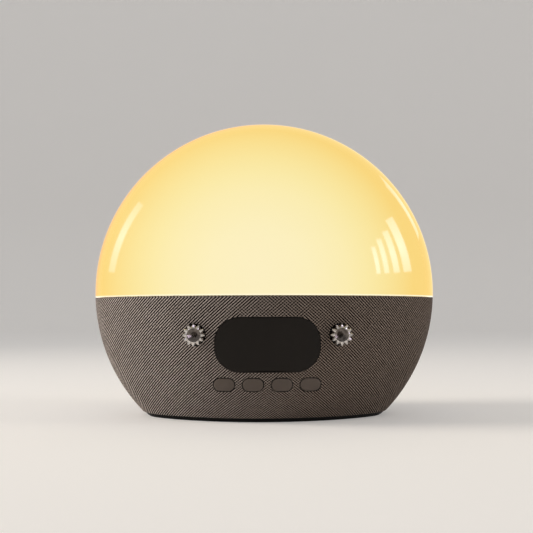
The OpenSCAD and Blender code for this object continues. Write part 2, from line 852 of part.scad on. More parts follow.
module control_board() color("darkgreen") difference() {
    intersection() {
        pebble(inner_in + control_edge_gap);
        drawn_y(-control_y, board_back_y) translate([-control_w / 2, control_z0])
            square([control_w, control_z1 - control_z0]);
    }
    drawn_y(-control_y - over, board_back_y + over) control_screw_places() circle(d = free_d);
}

module control_board_screws() color("dimgray") seen_from_front(board_back_y)
    control_screw_places() rotate([180, 0, 0]) screw(screw_l - 1);

module switch_bodies() color("slategray") difference() {
    drawn_y(switch_front_y, -control_y)
        for (x = button_xs) translate([x, button_z]) square(switch_w, center = true);
    drawn_y(switch_front_y - over, switch_front_y + stem_in + stem_room)
        for (x = button_xs) translate([x, button_z]) circle(d = stem_d + 2 * running_gap);
}

module button_cap(i) color("rosybrown") {
    x = button_xs[i];
    intersection() {
        pebble(-button_proud);
        drawn_y(-body_d, button_back_y) translate([x, button_z]) pill(button_w, button_h);
    }
    drawn_y(button_lip_y, button_back_y)
        translate([x, button_z]) pill(button_w + 2 * button_lip, button_h + 2 * button_lip);
    drawn_y(button_back_y, stem_tip_y) translate([x, button_z]) circle(d = post_d);
}

module switch_stem(i) color("black")
    drawn_y(stem_tip_y, switch_front_y + stem_in) translate([button_xs[i], button_z]) circle(d = stem_d);

// ---------- knobs ----------

module encoder_bases() color("black") difference() {
    drawn_y(encoder_can_y, -control_y)
        for (x = knob_xs) translate([x, knob_z]) square(encoder_w, center = true);
    drawn_y(encoder_can_y - over, encoder_well_y) knob_circles(collar_d + 2 * collar_room);
}

module encoder_bushings() color("silver") difference() {
    union() {
        drawn_y(encoder_front_y, encoder_can_y)
            for (x = knob_xs) translate([x, knob_z]) square(encoder_w, center = true);
        drawn_y(bushing_end_y, encoder_front_y + can_wall) knob_circles(bushing_d);
    }
    drawn_y(rotor_y - rotor_gap, encoder_can_y + over) knob_circles(rotor_d + 2 * rotor_gap);
    drawn_y(bushing_end_y - over, encoder_can_y + over) knob_circles(shaft_d + 2 * running_gap);
}

module rotor(x) color("ivory") drawn_y(rotor_y, rotor_y + rotor_t) translate([x, knob_z]) difference() {
    circle(d = rotor_d);
    d_shape(shaft_d / 2 + running_gap, shaft_d / 2 - shaft_flat + running_gap);
}

module shaft(x) color("gainsboro") {
    drawn_y(shaft_tip_y, collar_y)
        translate([x, knob_z]) d_shape(shaft_d / 2, shaft_d / 2 - shaft_flat);
    drawn_y(collar_y, shaft_end_y) translate([x, knob_z]) circle(d = collar_d);
}

// Pointed teeth round a circle, seen along the knob's axis
module toothed_disc() {
    root_r = knob_d / 2 - tooth_h;
    step = 360 / tooth_count;
    polygon([
        for (i = [0:tooth_count - 1], p = [[-tooth_half, root_r], [0, knob_d / 2], [tooth_half, root_r]])
            [p[1] * cos((i + p[0]) * step), p[1] * sin((i + p[0]) * step)]
    ]);
}

module knob(x) color("lightgray") difference() {
    intersection() {
        drawn_y(knob_tip_y, knob_back_y) translate([x, knob_z]) toothed_disc();
        turned_y(x, knob_z) polygon([
            [0, knob_tip_y], [knob_d / 2 - tooth_h / 2, knob_tip_y], [knob_d / 2, knob_tip_y + tooth_h],
            [knob_d / 2, knob_back_y], [0, knob_back_y]
        ]);
    }
    turned_y(x, knob_z) polygon([
        [0, knob_tip_y + dish_depth], [dish_d / 2, knob_tip_y],
        [dish_d / 2, knob_tip_y - over], [0, knob_tip_y - over]
    ]);
    drawn_y(knob_bore_end_y, knob_back_y + over) translate([x, knob_z])
        d_shape(shaft_d / 2 + press_gap, shaft_d / 2 - shaft_flat + press_gap);
}

// ---------- electronics ----------

module main_board() color("darkgreen") difference() {
    plate(main_w, main_d, board_corner, main_z, main_top_z);
    corners(main_screw_x, main_screw_y) upright(free_d, main_z - over, main_top_z + over);
}

module main_board_screws() color("dimgray")
    corners(main_screw_x, main_screw_y) translate([0, 0, main_top_z]) screw(short_screw_l);

// Shielded radio module, processor, amplifier, coil and two capacitors
module board_parts() {
    color("silver") translate(radio_at) cube(radio_size);
    color("black") translate(processor_at) cube(processor_size);
    color("black") translate(amplifier_at) cube(amplifier_size);
    color("dimgray") translate(coil_block_at) cube(coil_block_size);
    color("midnightblue") for (p = capacitor_places) translate(p)
        upright(capacitor_d, main_top_z, main_top_z + capacitor_h);
}

module board_connectors() color("ivory") {
    for (p = [led_plug, speaker_plug, dc_plug]) translate(p) cube(plug_size);
    translate([-ribbon_plug_w / 2, ribbon_plug_y, main_top_z])
        cube([ribbon_plug_w, ribbon_plug_d, ribbon_plug_h]);
    translate([-ribbon_plug_w / 2, board_back_y, ribbon_top_z])
        cube([ribbon_plug_w, ribbon_socket_t, ribbon_plug_h]);
}

module dc_inlet() color("black") difference() {
    union() {
        drawn_y(inlet_seat_y, inlet_front_y) inlet_circle(inlet_flange_d);
        drawn_y(inlet_back_y, inlet_front_y) inlet_circle(inlet_thread_d);
    }
    drawn_y(inlet_front_y - inlet_depth, inlet_front_y + over)
        translate([inlet_x, inlet_z]) difference() {
            circle(d = inlet_bore_d);
            circle(d = inlet_pin_d);
        }
    drawn_y(inlet_front_y - pin_drop, inlet_front_y + over) inlet_circle(inlet_bore_d);
}

module dc_inlet_nut() color("silver")
    drawn_y(inlet_floor_y - nut_t, inlet_floor_y)
        translate([inlet_x, inlet_z]) difference() {
            circle(d = nut_d, $fn = 6);
            circle(d = inlet_thread_d + 2 * seat_gap);
        }

// ---------- speaker ----------

module speaker_basket() color("dimgray") difference() {
    union() {
        turned_y(0, speaker_z) {
            ring_profile(flange_hole_r, speaker_r, flange_back_y, flange_y);
            polygon([
                [basket_front_r, flange_y], [basket_front_r, flange_back_y],
                [basket_back_r, basket_back_y], [basket_hole_r, basket_back_y],
                [basket_hole_r, basket_back_y + basket_wall],
                [basket_back_r - basket_wall, basket_back_y + basket_wall],
                [basket_front_r - basket_wall, flange_back_y], [basket_front_r - basket_wall, flange_y]
            ]);
            ring_profile(basket_back_r - 2 * basket_wall, basket_back_r, spider_y - basket_wall, spider_y);
        }
        translate([-terminal_x, terminal_y, speaker_z - terminal_size[2] / 2]) cube(terminal_size);
    }
    drawn_y(flange_back_y - over, flange_y + over) speaker_screw_places() circle(d = free_d);
    for (a = [45, 135]) translate([0, 0, speaker_z]) rotate([0, a, 0])
        translate([-speaker_d, basket_window_y, -basket_window_w / 2])
            cube([2 * speaker_d, basket_window_d, basket_window_w]);
}

module speaker_top_plate() color("silver") turned_y(0, speaker_z)
    ring_profile(gap_r, magnet_d / 2 - magnet_edge, top_plate_y, basket_back_y);

module speaker_magnet() color("dimgray") turned_y(0, speaker_z)
    ring_profile(gap_r + magnet_edge, magnet_d / 2, magnet_y, top_plate_y);

module speaker_yoke() color("silver") turned_y(0, speaker_z) {
    ring_profile(0, magnet_d / 2 - magnet_edge, yoke_y, magnet_y);
    ring_profile(0, pole_r, yoke_y, basket_back_y);
}

module voice_coil() color("peru") turned_y(0, speaker_z)
    ring_profile(coil_d / 2, coil_r, coil_back_y, coil_front_y);

module speaker_cone() color("black") turned_y(0, speaker_z) polygon([
    [coil_r, flange_y - cone_depth - cone_t], [coil_r, flange_y - cone_depth],
    [cone_r - 2 * cone_rim, flange_y], [cone_r, flange_y],
    [cone_r, flange_y - cone_rim], [cone_r - cone_rim, flange_y - cone_rim]
]);

// Shallow shell of a sphere on the voice coil's front edge
module dust_cap() color("black") turned_y(0, speaker_z) {
    rim = coil_r - 0.2;
    rise = 2.5;
    shell_r = (rim * rim + rise * rise) / (2 * rise);
    translate([0, coil_front_y]) intersection() {
        difference() {
            translate([0, rise - shell_r]) circle(r = shell_r);
            translate([0, rise - shell_r]) circle(r = shell_r - film_t);
        }
        square([rim + 1, rise + 1]);
    }
}

module speaker_surround() color("black") turned_y(0, speaker_z) {
    ring_profile(cone_r - 2 * cone_rim, roll_mid_r - roll_r + film_t, flange_y, flange_y + film_t);
    ring_profile(roll_mid_r + roll_r - film_t, surround_lip_r, flange_y, flange_y + film_t);
    translate([roll_mid_r, flange_y]) intersection() {
        difference() {
            circle(r = roll_r);
            circle(r = roll_r - film_t);
        }
        translate([-roll_r, 0]) square([2 * roll_r, roll_r]);
    }
}

// Corrugated disc that centres the coil
module speaker_spider() {
    flat_w = 1.4;
    from_r = coil_r;
    to_r = basket_back_r - basket_wall - 0.2;
    steps = 24;
    function wave(r) = 0.5 * sin((r - from_r - flat_w) / (to_r - from_r - 2 * flat_w) * 1080);
    rs = [for (i = [0:steps]) from_r + flat_w + (to_r - from_r - 2 * flat_w) * i / steps];
    color("goldenrod") turned_y(0, speaker_z) polygon(concat(
        [[from_r, spider_y]], [for (r = rs) [r, spider_y + wave(r)]],
        [[to_r, spider_y], [to_r, spider_y + film_t]],
        [for (i = [steps:-1:0]) [rs[i], spider_y + film_t + wave(rs[i])]], [[from_r, spider_y + film_t]]
    ));
}

module speaker_gasket() color("black") drawn_y(flange_y, speaker_seat_y) difference() {
    translate([0, speaker_z]) circle(d = speaker_d);
    translate([0, speaker_z]) circle(r = surround_lip_r + seat_gap);
    speaker_screw_places() circle(d = free_d);
}

module speaker_screws() color("dimgray")
    seen_from_front(flange_back_y) speaker_screw_places() screw(flange_t + gasket_t + short_screw_l);

// ---------- leads ----------

// Smooth curve through four points, between the middle two
function curve(a, b, c, d, t) = 0.5 * (
    2 * b + (c - a) * t + (2 * a - 5 * b + 4 * c - d) * t * t + (3 * b - a - 3 * c + d) * t * t * t
);

// Point at u, from 0 to 1, on the smooth curve through a route
function route_point(p, u) =
    let (last = len(p) - 1, s = min(u * last, last - 0.000001), i = floor(s))
    curve(p[max(i - 1, 0)], p[i], p[i + 1], p[min(i + 2, last)], s - i);

function unit(v) = v / norm(v);

// Direction at ring k, square to the faces where the lead starts and ends
function ring_heading(p, k, n) =
    k == 0 ? unit(p[1] - p[0])
    : k == n ? unit(p[len(p) - 1] - p[len(p) - 2])
    : unit(route_point(p, min((k + 0.5) / n, 1)) - route_point(p, max((k - 0.5) / n, 0)));

// Round tube along a route, whose rings keep one side towards side_hint
module lead_tube(p, side_hint) {
    points = [
        for (k = [0:lead_rings])
            let (
                c = route_point(p, k / lead_rings),
                t = ring_heading(p, k, lead_rings),
                u = unit(cross(side_hint, t)),
                v = cross(t, u)
            )
            for (j = [0:lead_sides - 1])
                c + lead_d / 2 * (cos(360 * j / lead_sides) * u + sin(360 * j / lead_sides) * v)
    ];
    walls = [
        for (k = [0:lead_rings - 1], j = [0:lead_sides - 1])
            let (a = k * lead_sides + j, b = k * lead_sides + (j + 1) % lead_sides)
            [a, a + lead_sides, b + lead_sides, b]
    ];
    caps = [
        [for (j = [0:lead_sides - 1]) j],
        [for (j = [lead_sides - 1:-1:0]) lead_rings * lead_sides + j]
    ];
    polyhedron(points, concat(walls, caps));
}

module led_lead() color("white") lead_tube(led_route, [0, 1, 0]);

module speaker_lead() color("black") lead_tube(speaker_route, [0, 1, -1]);

module dc_lead() color("red") lead_tube(dc_route, [1, -1, 0]);

// Flat cable: down from the control board, round a bend and back to the main board
module ribbon_cable() color("lightgray") {
    outer = ribbon_bend + ribbon_t;
    bend_y = ribbon_y - ribbon_t / 2 + outer;
    bend_z = ribbon_low_z - ribbon_t / 2 + outer;
    translate([ribbon_w / 2, 0, 0]) rotate([90, 0, -90]) linear_extrude(ribbon_w) {
        translate([-bend_y, bend_z]) intersection() {
            difference() {
                circle(r = outer);
                circle(r = ribbon_bend);
            }
            translate([0, -outer]) square(outer);
        }
        translate([-bend_y + ribbon_bend, bend_z]) square([ribbon_t, ribbon_top_z - bend_z]);
        translate([-ribbon_plug_y, bend_z - outer]) square([ribbon_plug_y - bend_y, ribbon_t]);
    }
}

dome_diffuser();
reflector_tray();
heat_spreader();
led_board();
leds();
base_housing();
fabric_cover();
base_plate();
foot_ring();
display_window();
display_baffle();
display_module();
control_board();
switch_bodies();
button_cap(0);  // button_1
button_cap(1);  // button_2
button_cap(2);  // button_3
button_cap(3);  // button_4
switch_stem(0);  // switch_stem_1
switch_stem(1);  // switch_stem_2
switch_stem(2);  // switch_stem_3
switch_stem(3);  // switch_stem_4
encoder_bases();
encoder_bushings();
rotor(-knob_x);  // left_rotor
rotor(knob_x);  // right_rotor
shaft(-knob_x);  // left_shaft
shaft(knob_x);  // right_shaft
knob(-knob_x);  // left_knob
knob(knob_x);  // right_knob
main_board();
board_parts();
board_connectors();
dc_inlet();
dc_inlet_nut();
speaker_basket();
speaker_top_plate();
speaker_magnet();
speaker_yoke();
speaker_cone();
voice_coil();
dust_cap();
speaker_surround();
speaker_spider();
speaker_gasket();
dome_screws();
base_screws();
control_board_screws();
main_board_screws();
speaker_screws();
spreader_screws();
led_board_screws();
led_lead();
speaker_lead();
dc_lead();
ribbon_cable();
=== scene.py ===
"""Round sunrise alarm clock: the finish of every piece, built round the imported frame.

The frame holds each piece at its real size. The skins that the eye meets first, which are the light
dome, the woven sleeve, the display window, the button caps and the knobs, are made again here as fine
surfaces worked out with numpy. Every other piece keeps its own shape and gets its real material.
Sizes are in millimetres and become metres when a mesh is made.
"""
import logging
import math
from collections.abc import Sequence
from dataclasses import dataclass, field
from enum import Enum
from typing import Any

import bmesh
import bpy
import numpy as np
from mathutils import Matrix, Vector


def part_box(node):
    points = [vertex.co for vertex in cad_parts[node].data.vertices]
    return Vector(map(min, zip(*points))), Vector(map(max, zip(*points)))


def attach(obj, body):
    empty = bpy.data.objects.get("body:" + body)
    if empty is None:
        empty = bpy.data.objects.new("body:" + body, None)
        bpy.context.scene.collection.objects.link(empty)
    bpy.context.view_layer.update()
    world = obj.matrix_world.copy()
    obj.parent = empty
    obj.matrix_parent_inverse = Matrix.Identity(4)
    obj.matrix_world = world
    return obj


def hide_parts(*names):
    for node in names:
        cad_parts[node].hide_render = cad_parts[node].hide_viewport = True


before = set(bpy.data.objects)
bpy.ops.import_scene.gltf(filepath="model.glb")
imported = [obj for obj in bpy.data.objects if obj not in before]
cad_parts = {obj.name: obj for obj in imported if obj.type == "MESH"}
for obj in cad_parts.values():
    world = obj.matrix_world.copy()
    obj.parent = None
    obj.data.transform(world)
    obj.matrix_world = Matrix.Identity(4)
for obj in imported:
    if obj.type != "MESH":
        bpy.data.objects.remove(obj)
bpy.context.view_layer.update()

LOG = logging.getLogger("sunrise_clock")
MM = 0.001
TURN = 2 * math.pi
Array = np.ndarray
Piece = bpy.types.Object
Material = bpy.types.Material
Tree, Node, Socket = bpy.types.NodeTree, bpy.types.Node, bpy.types.NodeSocket

# ---------- colour and nodes ----------


def linear(colour: str) -> tuple[float, float, float, float]:
    """Turns an sRGB hex value to linear light, by the curve of the sRGB standard.

    Args:
        colour: six hex digits after a hash sign.

    Returns:
        Red, green, blue and an alpha of one.
    """
    coded = np.array([int(colour[i:i + 2], 16) for i in (1, 3, 5)]) / 255
    light = np.where(coded <= 0.04045, coded / 12.92, ((coded + 0.055) / 1.055) ** 2.4)
    return (*(float(part) for part in light), 1.0)


def add_node(tree: Tree, kind: str, sockets: dict[Any, Any] | None = None,
             stops: Sequence[tuple[float, str]] = (), **settings: Any) -> Node:
    """Adds one node with its settings and links.

    Args:
        tree: the node tree that takes the node.
        kind: the shader node's type, without ShaderNode before it.
        sockets: for each input, by name or number, a value, or an output that is linked to it.
        stops: places and hex colours of a colour ramp.
        settings: the node's own settings by name.

    Returns:
        The new node.
    """
    node = tree.nodes.new(f"ShaderNode{kind}")
    for name, value in settings.items():
        setattr(node, name, value)
    for name, value in (sockets or {}).items():
        if isinstance(value, Socket):
            tree.links.new(value, node.inputs[name])
        else:
            node.inputs[name].default_value = value
    if stops:
        ramp = node.color_ramp
        while len(ramp.elements) < len(stops):
            ramp.elements.new(1.0)
        for element, (place, colour) in zip(ramp.elements, stops):
            element.position = place
            element.color = linear(colour)
    return node


# ---------- finishes ----------

MIX_A, MIX_B, MIX_RESULT = 6, 7, 2  # the colour sockets of a Mix node
PART_A, PART_B, PART_RESULT = 2, 3, 0  # its number sockets
NOISE_LOW, NOISE_HIGH = 0.3, 0.7  # nearly all of a noise lies between these
WAVE_RATE = 20.0  # radians that a wave node draws for each unit of its scale
LEAST_ROUGHNESS = 0.02


class Relief(Enum):
    """How a surface was made, which decides its fine relief."""

    ERODED = "even grain of a spark-eroded mould"
    POLISHED = "faint waves of a polished mould"
    BRUSHED = "long scratches one way"
    CAST = "soft lumps of a casting or a pressing"
    FIBROUS = "felted or spun fibres"
    CELLS = "open cells of a foam"
    WOUND = "turns of wire round the front-to-back axis"


@dataclass(frozen=True)
class Finish:
    """A real material with its colour, its gloss and its fine relief.

    The colour drifts between two tones, the gloss drifts round its typical value, and the relief
    is a bump whose grain has a real size.
    """

    name: str
    tone: str
    shade: str
    roughness: float
    metallic: float = 0.0
    ior: float = 1.5
    relief: Relief = Relief.ERODED
    grain_mm: float = 0.4
    height_mm: float = 0.02
    drift_mm: float = 18.0
    gloss_drift: float = 0.06
    sheen: float = 0.0
    specular: float = 0.5

    def material(self) -> Material:
        """Makes the material, or finds it again.

        Returns:
            The Blender material with its nodes.
        """
        name = f"{self.name}_finish"
        if name in bpy.data.materials:
            return bpy.data.materials[name]
        material = bpy.data.materials.new(name)
        material.use_nodes = True
        tree = material.node_tree
        tree.nodes.clear()
        place = add_node(tree, "TexCoord").outputs["Object"]
        shader = add_node(tree, "BsdfPrincipled", {
            "Metallic": self.metallic, "IOR": self.ior, "Roughness": self.roughness,
            "Sheen Weight": self.sheen, "Specular IOR Level": self.specular})
        self.paint(tree, shader, place)
        add_node(tree, "OutputMaterial", {"Surface": shader.outputs["BSDF"]})
        return material

    def paint(self, tree: Tree, shader: Node, place: Socket) -> None:
        """Links colour, gloss and relief to the shader.

        Args:
            tree: the material's node tree.
            shader: its Principled shader.
            place: the object's own coordinates, in metres.
        """
        tree.links.new(self.colour(tree, place), shader.inputs["Base Color"])
        tree.links.new(self.gloss(tree, place), shader.inputs["Roughness"])
        bump = add_node(tree, "Bump", {
            "Height": self.height(tree, place), "Distance": self.height_mm * MM, "Strength": 1.0})
        tree.links.new(bump.outputs["Normal"], shader.inputs["Normal"])

    def colour(self, tree: Tree, place: Socket) -> Socket:
        """Drifts between the two tones over a few centimetres.

        Args:
            tree: the material's node tree.
            place: the object's own coordinates.

        Returns:
            The colour output.
        """
        drift = add_node(tree, "TexNoise", {
            "Vector": place, "Scale": 1 / (self.drift_mm * MM), "Detail": 4.0, "Roughness": 0.6})
        return add_node(tree, "ValToRGB", {"Fac": drift.outputs["Fac"]}, stops=[
            (NOISE_LOW, self.shade), (NOISE_HIGH, self.tone)]).outputs["Color"]

    def gloss(self, tree: Tree, place: Socket) -> Socket:
        """Drifts the roughness, as handling and the mould's own finish do.

        Args:
            tree: the material's node tree.
            place: the object's own coordinates.

        Returns:
            The roughness output.
        """
        smear = add_node(tree, "TexNoise", {
            "Vector": place, "Scale": 2 / (self.drift_mm * MM), "Detail": 3.0})
        least = max(self.roughness - self.gloss_drift, LEAST_ROUGHNESS)
        return add_node(tree, "MapRange", {
            "Value": smear.outputs["Fac"], "From Min": NOISE_LOW, "From Max": NOISE_HIGH,
            "To Min": least, "To Max": self.roughness + self.gloss_drift}).outputs["Result"]

    def height(self, tree: Tree, place: Socket) -> Socket:
        """Draws the fine relief that the way of making leaves.

        Args:
            tree: the material's node tree.
            place: the object's own coordinates.

        Returns:
            The height output, from 0 to 1.
        """
        scale = 1 / (self.grain_mm * MM)
        if self.relief is Relief.CELLS:
            return add_node(tree, "TexVoronoi", {
                "Vector": place, "Scale": scale}).outputs["Distance"]
        if self.relief is Relief.WOUND:
            return add_node(tree, "TexWave", {
                "Vector": place, "Scale": scale / WAVE_RATE, "Distortion": 0.4},
                bands_direction="Y").outputs["Fac"]
        along = {Relief.BRUSHED: 0.03, Relief.FIBROUS: 0.35}.get(self.relief, 1.0)
        aligned = add_node(tree, "Mapping", {"Vector": place, "Scale": (along, 1.0, 1.0)})
        return add_node(tree, "TexNoise", {
            "Vector": aligned.outputs["Vector"], "Scale": scale,
            "Detail": 0.0 if self.relief is Relief.POLISHED else 3.0}).outputs["Fac"]


@dataclass(frozen=True)
class BoardFinish(Finish):
    """Solder mask over copper: a glossy lacquer in which the tracks stand a little proud and paler."""

    track_mm: float = 2.2
    border: tuple[float, float] = (0.32, 0.4)

    def colour(self, tree: Tree, place: Socket) -> Socket:
        """Lays paler tracks under the lacquer.

        Args:
            tree: the material's node tree.
            place: the object's own coordinates.

        Returns:
            The colour output.
        """
        return add_node(tree, "ValToRGB", {"Fac": self.tracks(tree, place)}, stops=[
            (0.35, self.tone), (0.65, self.shade)]).outputs["Color"]

    def height(self, tree: Tree, place: Socket) -> Socket:
        """Lifts the lacquer over the tracks."""
        return self.tracks(tree, place)

    def tracks(self, tree: Tree, place: Socket) -> Socket:
        """Draws tracks as the borders between square cells of a Voronoi pattern.

        Args:
            tree: the material's node tree.
            place: the object's own coordinates.

        Returns:
            One on a track, nought between tracks.
        """
        cells = add_node(tree, "TexVoronoi", {
            "Vector": place, "Scale": 1 / (self.track_mm * MM), "Randomness": 0.9},
            distance="CHEBYCHEV", feature="F1")
        return add_node(tree, "MapRange", {
            "Value": cells.outputs["Distance"], "From Min": self.border[0],
            "From Max": self.border[1]}).outputs["Result"]


@dataclass(frozen=True)
class GlowFinish(Finish):
    """Opal acrylic lit from inside: clear gloss over a milky body that glows.

    The body is palest over the lamps, low in the middle, and deepens to amber with the distance from
    them. Round the ridge an orange edge glow is painted, as thick acrylic seen edge on looks from the
    front; it is painted strongest on the left and fades towards the right, where more light falls on
    the dome. A painted highlight runs as a bright line along the rim next to the seam, where the light
    of the tray catches it.
    """

    core_x_mm: float = -5.0
    core_z_mm: float = 80.0
    reach_mm: float = 100.0
    depth_share: float = 0.2
    # painted edge glow: an orange band round the ridge, strongest on the left and faded towards the right,
    # where more light falls
    edge_glow_band_mm: tuple[float, float] = (7.0, 19.0)
    edge_glow_left_share: float = 0.6
    edge_glow_right_share: float = 0.06
    edge_glow_fade_mm: tuple[float, float] = (-60.0, 80.0)
    painted_edge_glow_tone: str = "#D07A1E"
    seam_mm: float = 70.5
    # painted highlight: a bright line along the rim next to the seam
    painted_seam_highlight_mm: float = 0.9
    painted_seam_highlight_tone: str = "#FFF6D8"
    strength: float = 1.05

    def paint(self, tree: Tree, shader: Node, place: Socket) -> None:
        """Links the glow to the emission and a thin milky colour to the base.

        Args:
            tree: the material's node tree.
            shader: its Principled shader.
            place: the object's own coordinates.
        """
        super().paint(tree, shader, place)
        axes = add_node(tree, "SeparateXYZ", {"Vector": place})
        span = 1 / (self.reach_mm * MM)
        centred = add_node(tree, "Mapping", {
            "Vector": place, "Scale": (span, self.depth_share * span, span),
            "Location": (-self.core_x_mm / self.reach_mm, 0.0, -self.core_z_mm / self.reach_mm)})
        away = add_node(tree, "VectorMath", {0: centred.outputs["Vector"]}, operation="LENGTH")
        glow = add_node(tree, "ValToRGB", {"Fac": away.outputs["Value"]}, stops=[
            (0.0, "#F1E6BD"), (0.3, "#F1E6B6"), (0.5, "#F0E3AA"), (0.6, "#EFE0A0"), (0.7, "#EEDB94"),
            (0.8, "#EDD485"), (0.9, "#ECCB71"), (1.0, "#ECC96D")])
        # Painted edge glow: orange painted into the glow round the ridge, strongest on the left and faded
        # towards the right as painted light
        flank = add_node(tree, "Math", {0: axes.outputs["Y"]}, operation="ABSOLUTE")
        side = add_node(tree, "MapRange", {
            "Value": axes.outputs["X"], "From Min": self.edge_glow_fade_mm[0] * MM, "From Max": self.edge_glow_fade_mm[1] * MM,
            "To Min": self.edge_glow_left_share, "To Max": self.edge_glow_right_share}, interpolation_type="SMOOTHSTEP")
        ridge = add_node(tree, "MapRange", {
            "Value": flank.outputs["Value"], "From Min": self.edge_glow_band_mm[0] * MM,
            "From Max": self.edge_glow_band_mm[1] * MM, "To Min": side.outputs["Result"], "To Max": 0.0},
            interpolation_type="SMOOTHERSTEP")
        # Painted highlight: a bright line painted along the rim next to the seam
        rim = add_node(tree, "MapRange", {
            "Value": axes.outputs["Z"], "From Min": (self.seam_mm + self.painted_seam_highlight_mm) * MM,
            "From Max": self.seam_mm * MM}, interpolation_type="SMOOTHSTEP")
        colour = glow.outputs["Color"]
        for part, tone in ((ridge, self.painted_edge_glow_tone), (rim, self.painted_seam_highlight_tone)):
            colour = add_node(tree, "Mix", {
                0: part.outputs["Result"], MIX_A: colour, MIX_B: linear(tone)},
                data_type="RGBA").outputs[MIX_RESULT]
        tree.links.new(colour, shader.inputs["Emission Color"])
        shader.inputs["Emission Strength"].default_value = self.strength


@dataclass(frozen=True)
class WeaveFinish(Finish):
    """Melange cloth woven on the bias: stitches of light yarn over a dark ground.

    Two families of stitches cross at right angles, one rising to the right and one to the left. A
    brick pattern draws each family, because its rows are the yarns, its bricks are the floats and its
    mortar is the ground between them. The ground is painted near black, darker than the dark yarn, so
    that it also holds the painted shade in the gaps between the yarns. The ends of the floats are
    tucked under, so that the ground shows less between them than between the yarns. Which family shows
    is painted light: the rising family, which the light from the left picks out, is drawn on the left
    of the sleeve and mostly the falling one on the right, with patches of both between them. Towards
    the right the cloth is also tinted darker and warmer, which is painted shade of the side that gets
    less light.
    """

    yarn_mm: float = 1.3
    float_mm: float = 4.2
    gap_mm: float = 0.45
    gap_blur: float = 0.4
    tuck: float = 4.0
    bias_deg: float = 41.0
    pale: str = "#D0C5C0"
    # painted shade: the tint that darkens and warms the cloth towards the right
    painted_shade_tint: str = "#CEC6BE"
    # near-black ground: the dark yarn together with the painted shade in the gaps between yarns
    ground_and_gap_shade: str = "#020101"
    fibres_per_mm: float = 1.7
    wear: tuple[float, float] = (0.75, 1.2)
    # painted light: from left to right the falling family shows more, as the light picks it out
    painted_light_blend_mm: tuple[float, float] = (-65.0, 40.0)
    painted_light_falling_share: tuple[float, float] = (-0.3, 0.72)
    patch_mm: float = 5.0
    patch_push: float = 0.4
    sheen_tint: str = "#CFC4C4"
    sheen_roughness: float = 0.45

    def paint(self, tree: Tree, shader: Node, place: Socket) -> None:
        """Links the two families of stitches to colour and relief.

        Args:
            tree: the material's node tree.
            shader: its Principled shader.
            place: the object's own coordinates.
        """
        cloth = add_node(tree, "UVMap", uv_map="cloth").outputs["UV"]
        rising = self.stitches(tree, cloth, -1)
        falling = self.stitches(tree, cloth, 1)
        # Painted light: the falling family is drawn more towards the right, where the light picks it out
        across = self.across(tree, place)
        share = self.share(tree, place, across)
        colour = add_node(tree, "Mix", {
            0: share, MIX_A: rising.outputs["Color"], MIX_B: falling.outputs["Color"]},
            data_type="RGBA").outputs[MIX_RESULT]
        fibres = add_node(tree, "TexNoise", {
            "Vector": cloth, "Scale": self.fibres_per_mm, "Detail": 5.0, "Roughness": 0.7})
        worn = add_node(tree, "MapRange", {
            "Value": fibres.outputs["Fac"], "From Min": 0.25, "From Max": 0.75,
            "To Min": self.wear[0], "To Max": self.wear[1]})
        # Painted shade: the cloth is tinted darker and warmer towards the right; then the fibres' own tone
        for part, tint in ((across, linear(self.painted_shade_tint)), (1.0, worn.outputs["Result"])):
            colour = add_node(tree, "Mix", {0: part, MIX_A: colour, MIX_B: tint},
                              data_type="RGBA", blend_type="MULTIPLY").outputs[MIX_RESULT]
        gaps = add_node(tree, "Mix", {
            0: share, PART_A: rising.outputs["Fac"], PART_B: falling.outputs["Fac"]}, data_type="FLOAT")
        bump = add_node(tree, "Bump", {
            "Height": gaps.outputs[PART_RESULT], "Distance": self.height_mm * MM, "Strength": 1.0},
            invert=True)
        tree.links.new(colour, shader.inputs["Base Color"])
        tree.links.new(bump.outputs["Normal"], shader.inputs["Normal"])
        shader.inputs["Sheen Tint"].default_value = linear(self.sheen_tint)
        shader.inputs["Sheen Roughness"].default_value = self.sheen_roughness

    def stitches(self, tree: Tree, cloth: Socket, side: int) -> Node:
        """Draws one family of yarns at the bias angle to the sleeve's edge.

        Args:
            tree: the material's node tree.
            cloth: the sleeve's own coordinates, in millimetres along and up the cloth.
            side: -1 for yarns that rise to the right, 1 for yarns that fall.

        Returns:
            The brick node, whose Fac is one in the gaps.
        """
        turned = add_node(tree, "Mapping", {
            "Vector": cloth, "Rotation": (0.0, 0.0, -side * math.radians(self.bias_deg)),
            "Scale": (1 / self.tuck, 1.0, 1.0)}, vector_type="TEXTURE")
        return add_node(tree, "TexBrick", {
            "Vector": turned.outputs["Vector"], "Color1": linear(self.tone), "Color2": linear(self.pale),
            "Mortar": linear(self.ground_and_gap_shade), "Mortar Size": self.gap_mm, "Mortar Smooth": self.gap_blur,
            "Scale": 1.0, "Bias": 0.0, "Brick Width": self.float_mm * self.tuck,
            "Row Height": self.yarn_mm})

    def across(self, tree: Tree, place: Socket) -> Socket:
        """Works out how far right a point of the cloth lies.

        Args:
            tree: the material's node tree.
            place: the object's own coordinates.

        Returns:
            A value from 0 left of the blend to 1 right of it.
        """
        axes = add_node(tree, "SeparateXYZ", {"Vector": place})
        return add_node(tree, "MapRange", {
            "Value": axes.outputs["X"], "From Min": self.painted_light_blend_mm[0] * MM,
            "From Max": self.painted_light_blend_mm[1] * MM}, interpolation_type="SMOOTHSTEP").outputs["Result"]

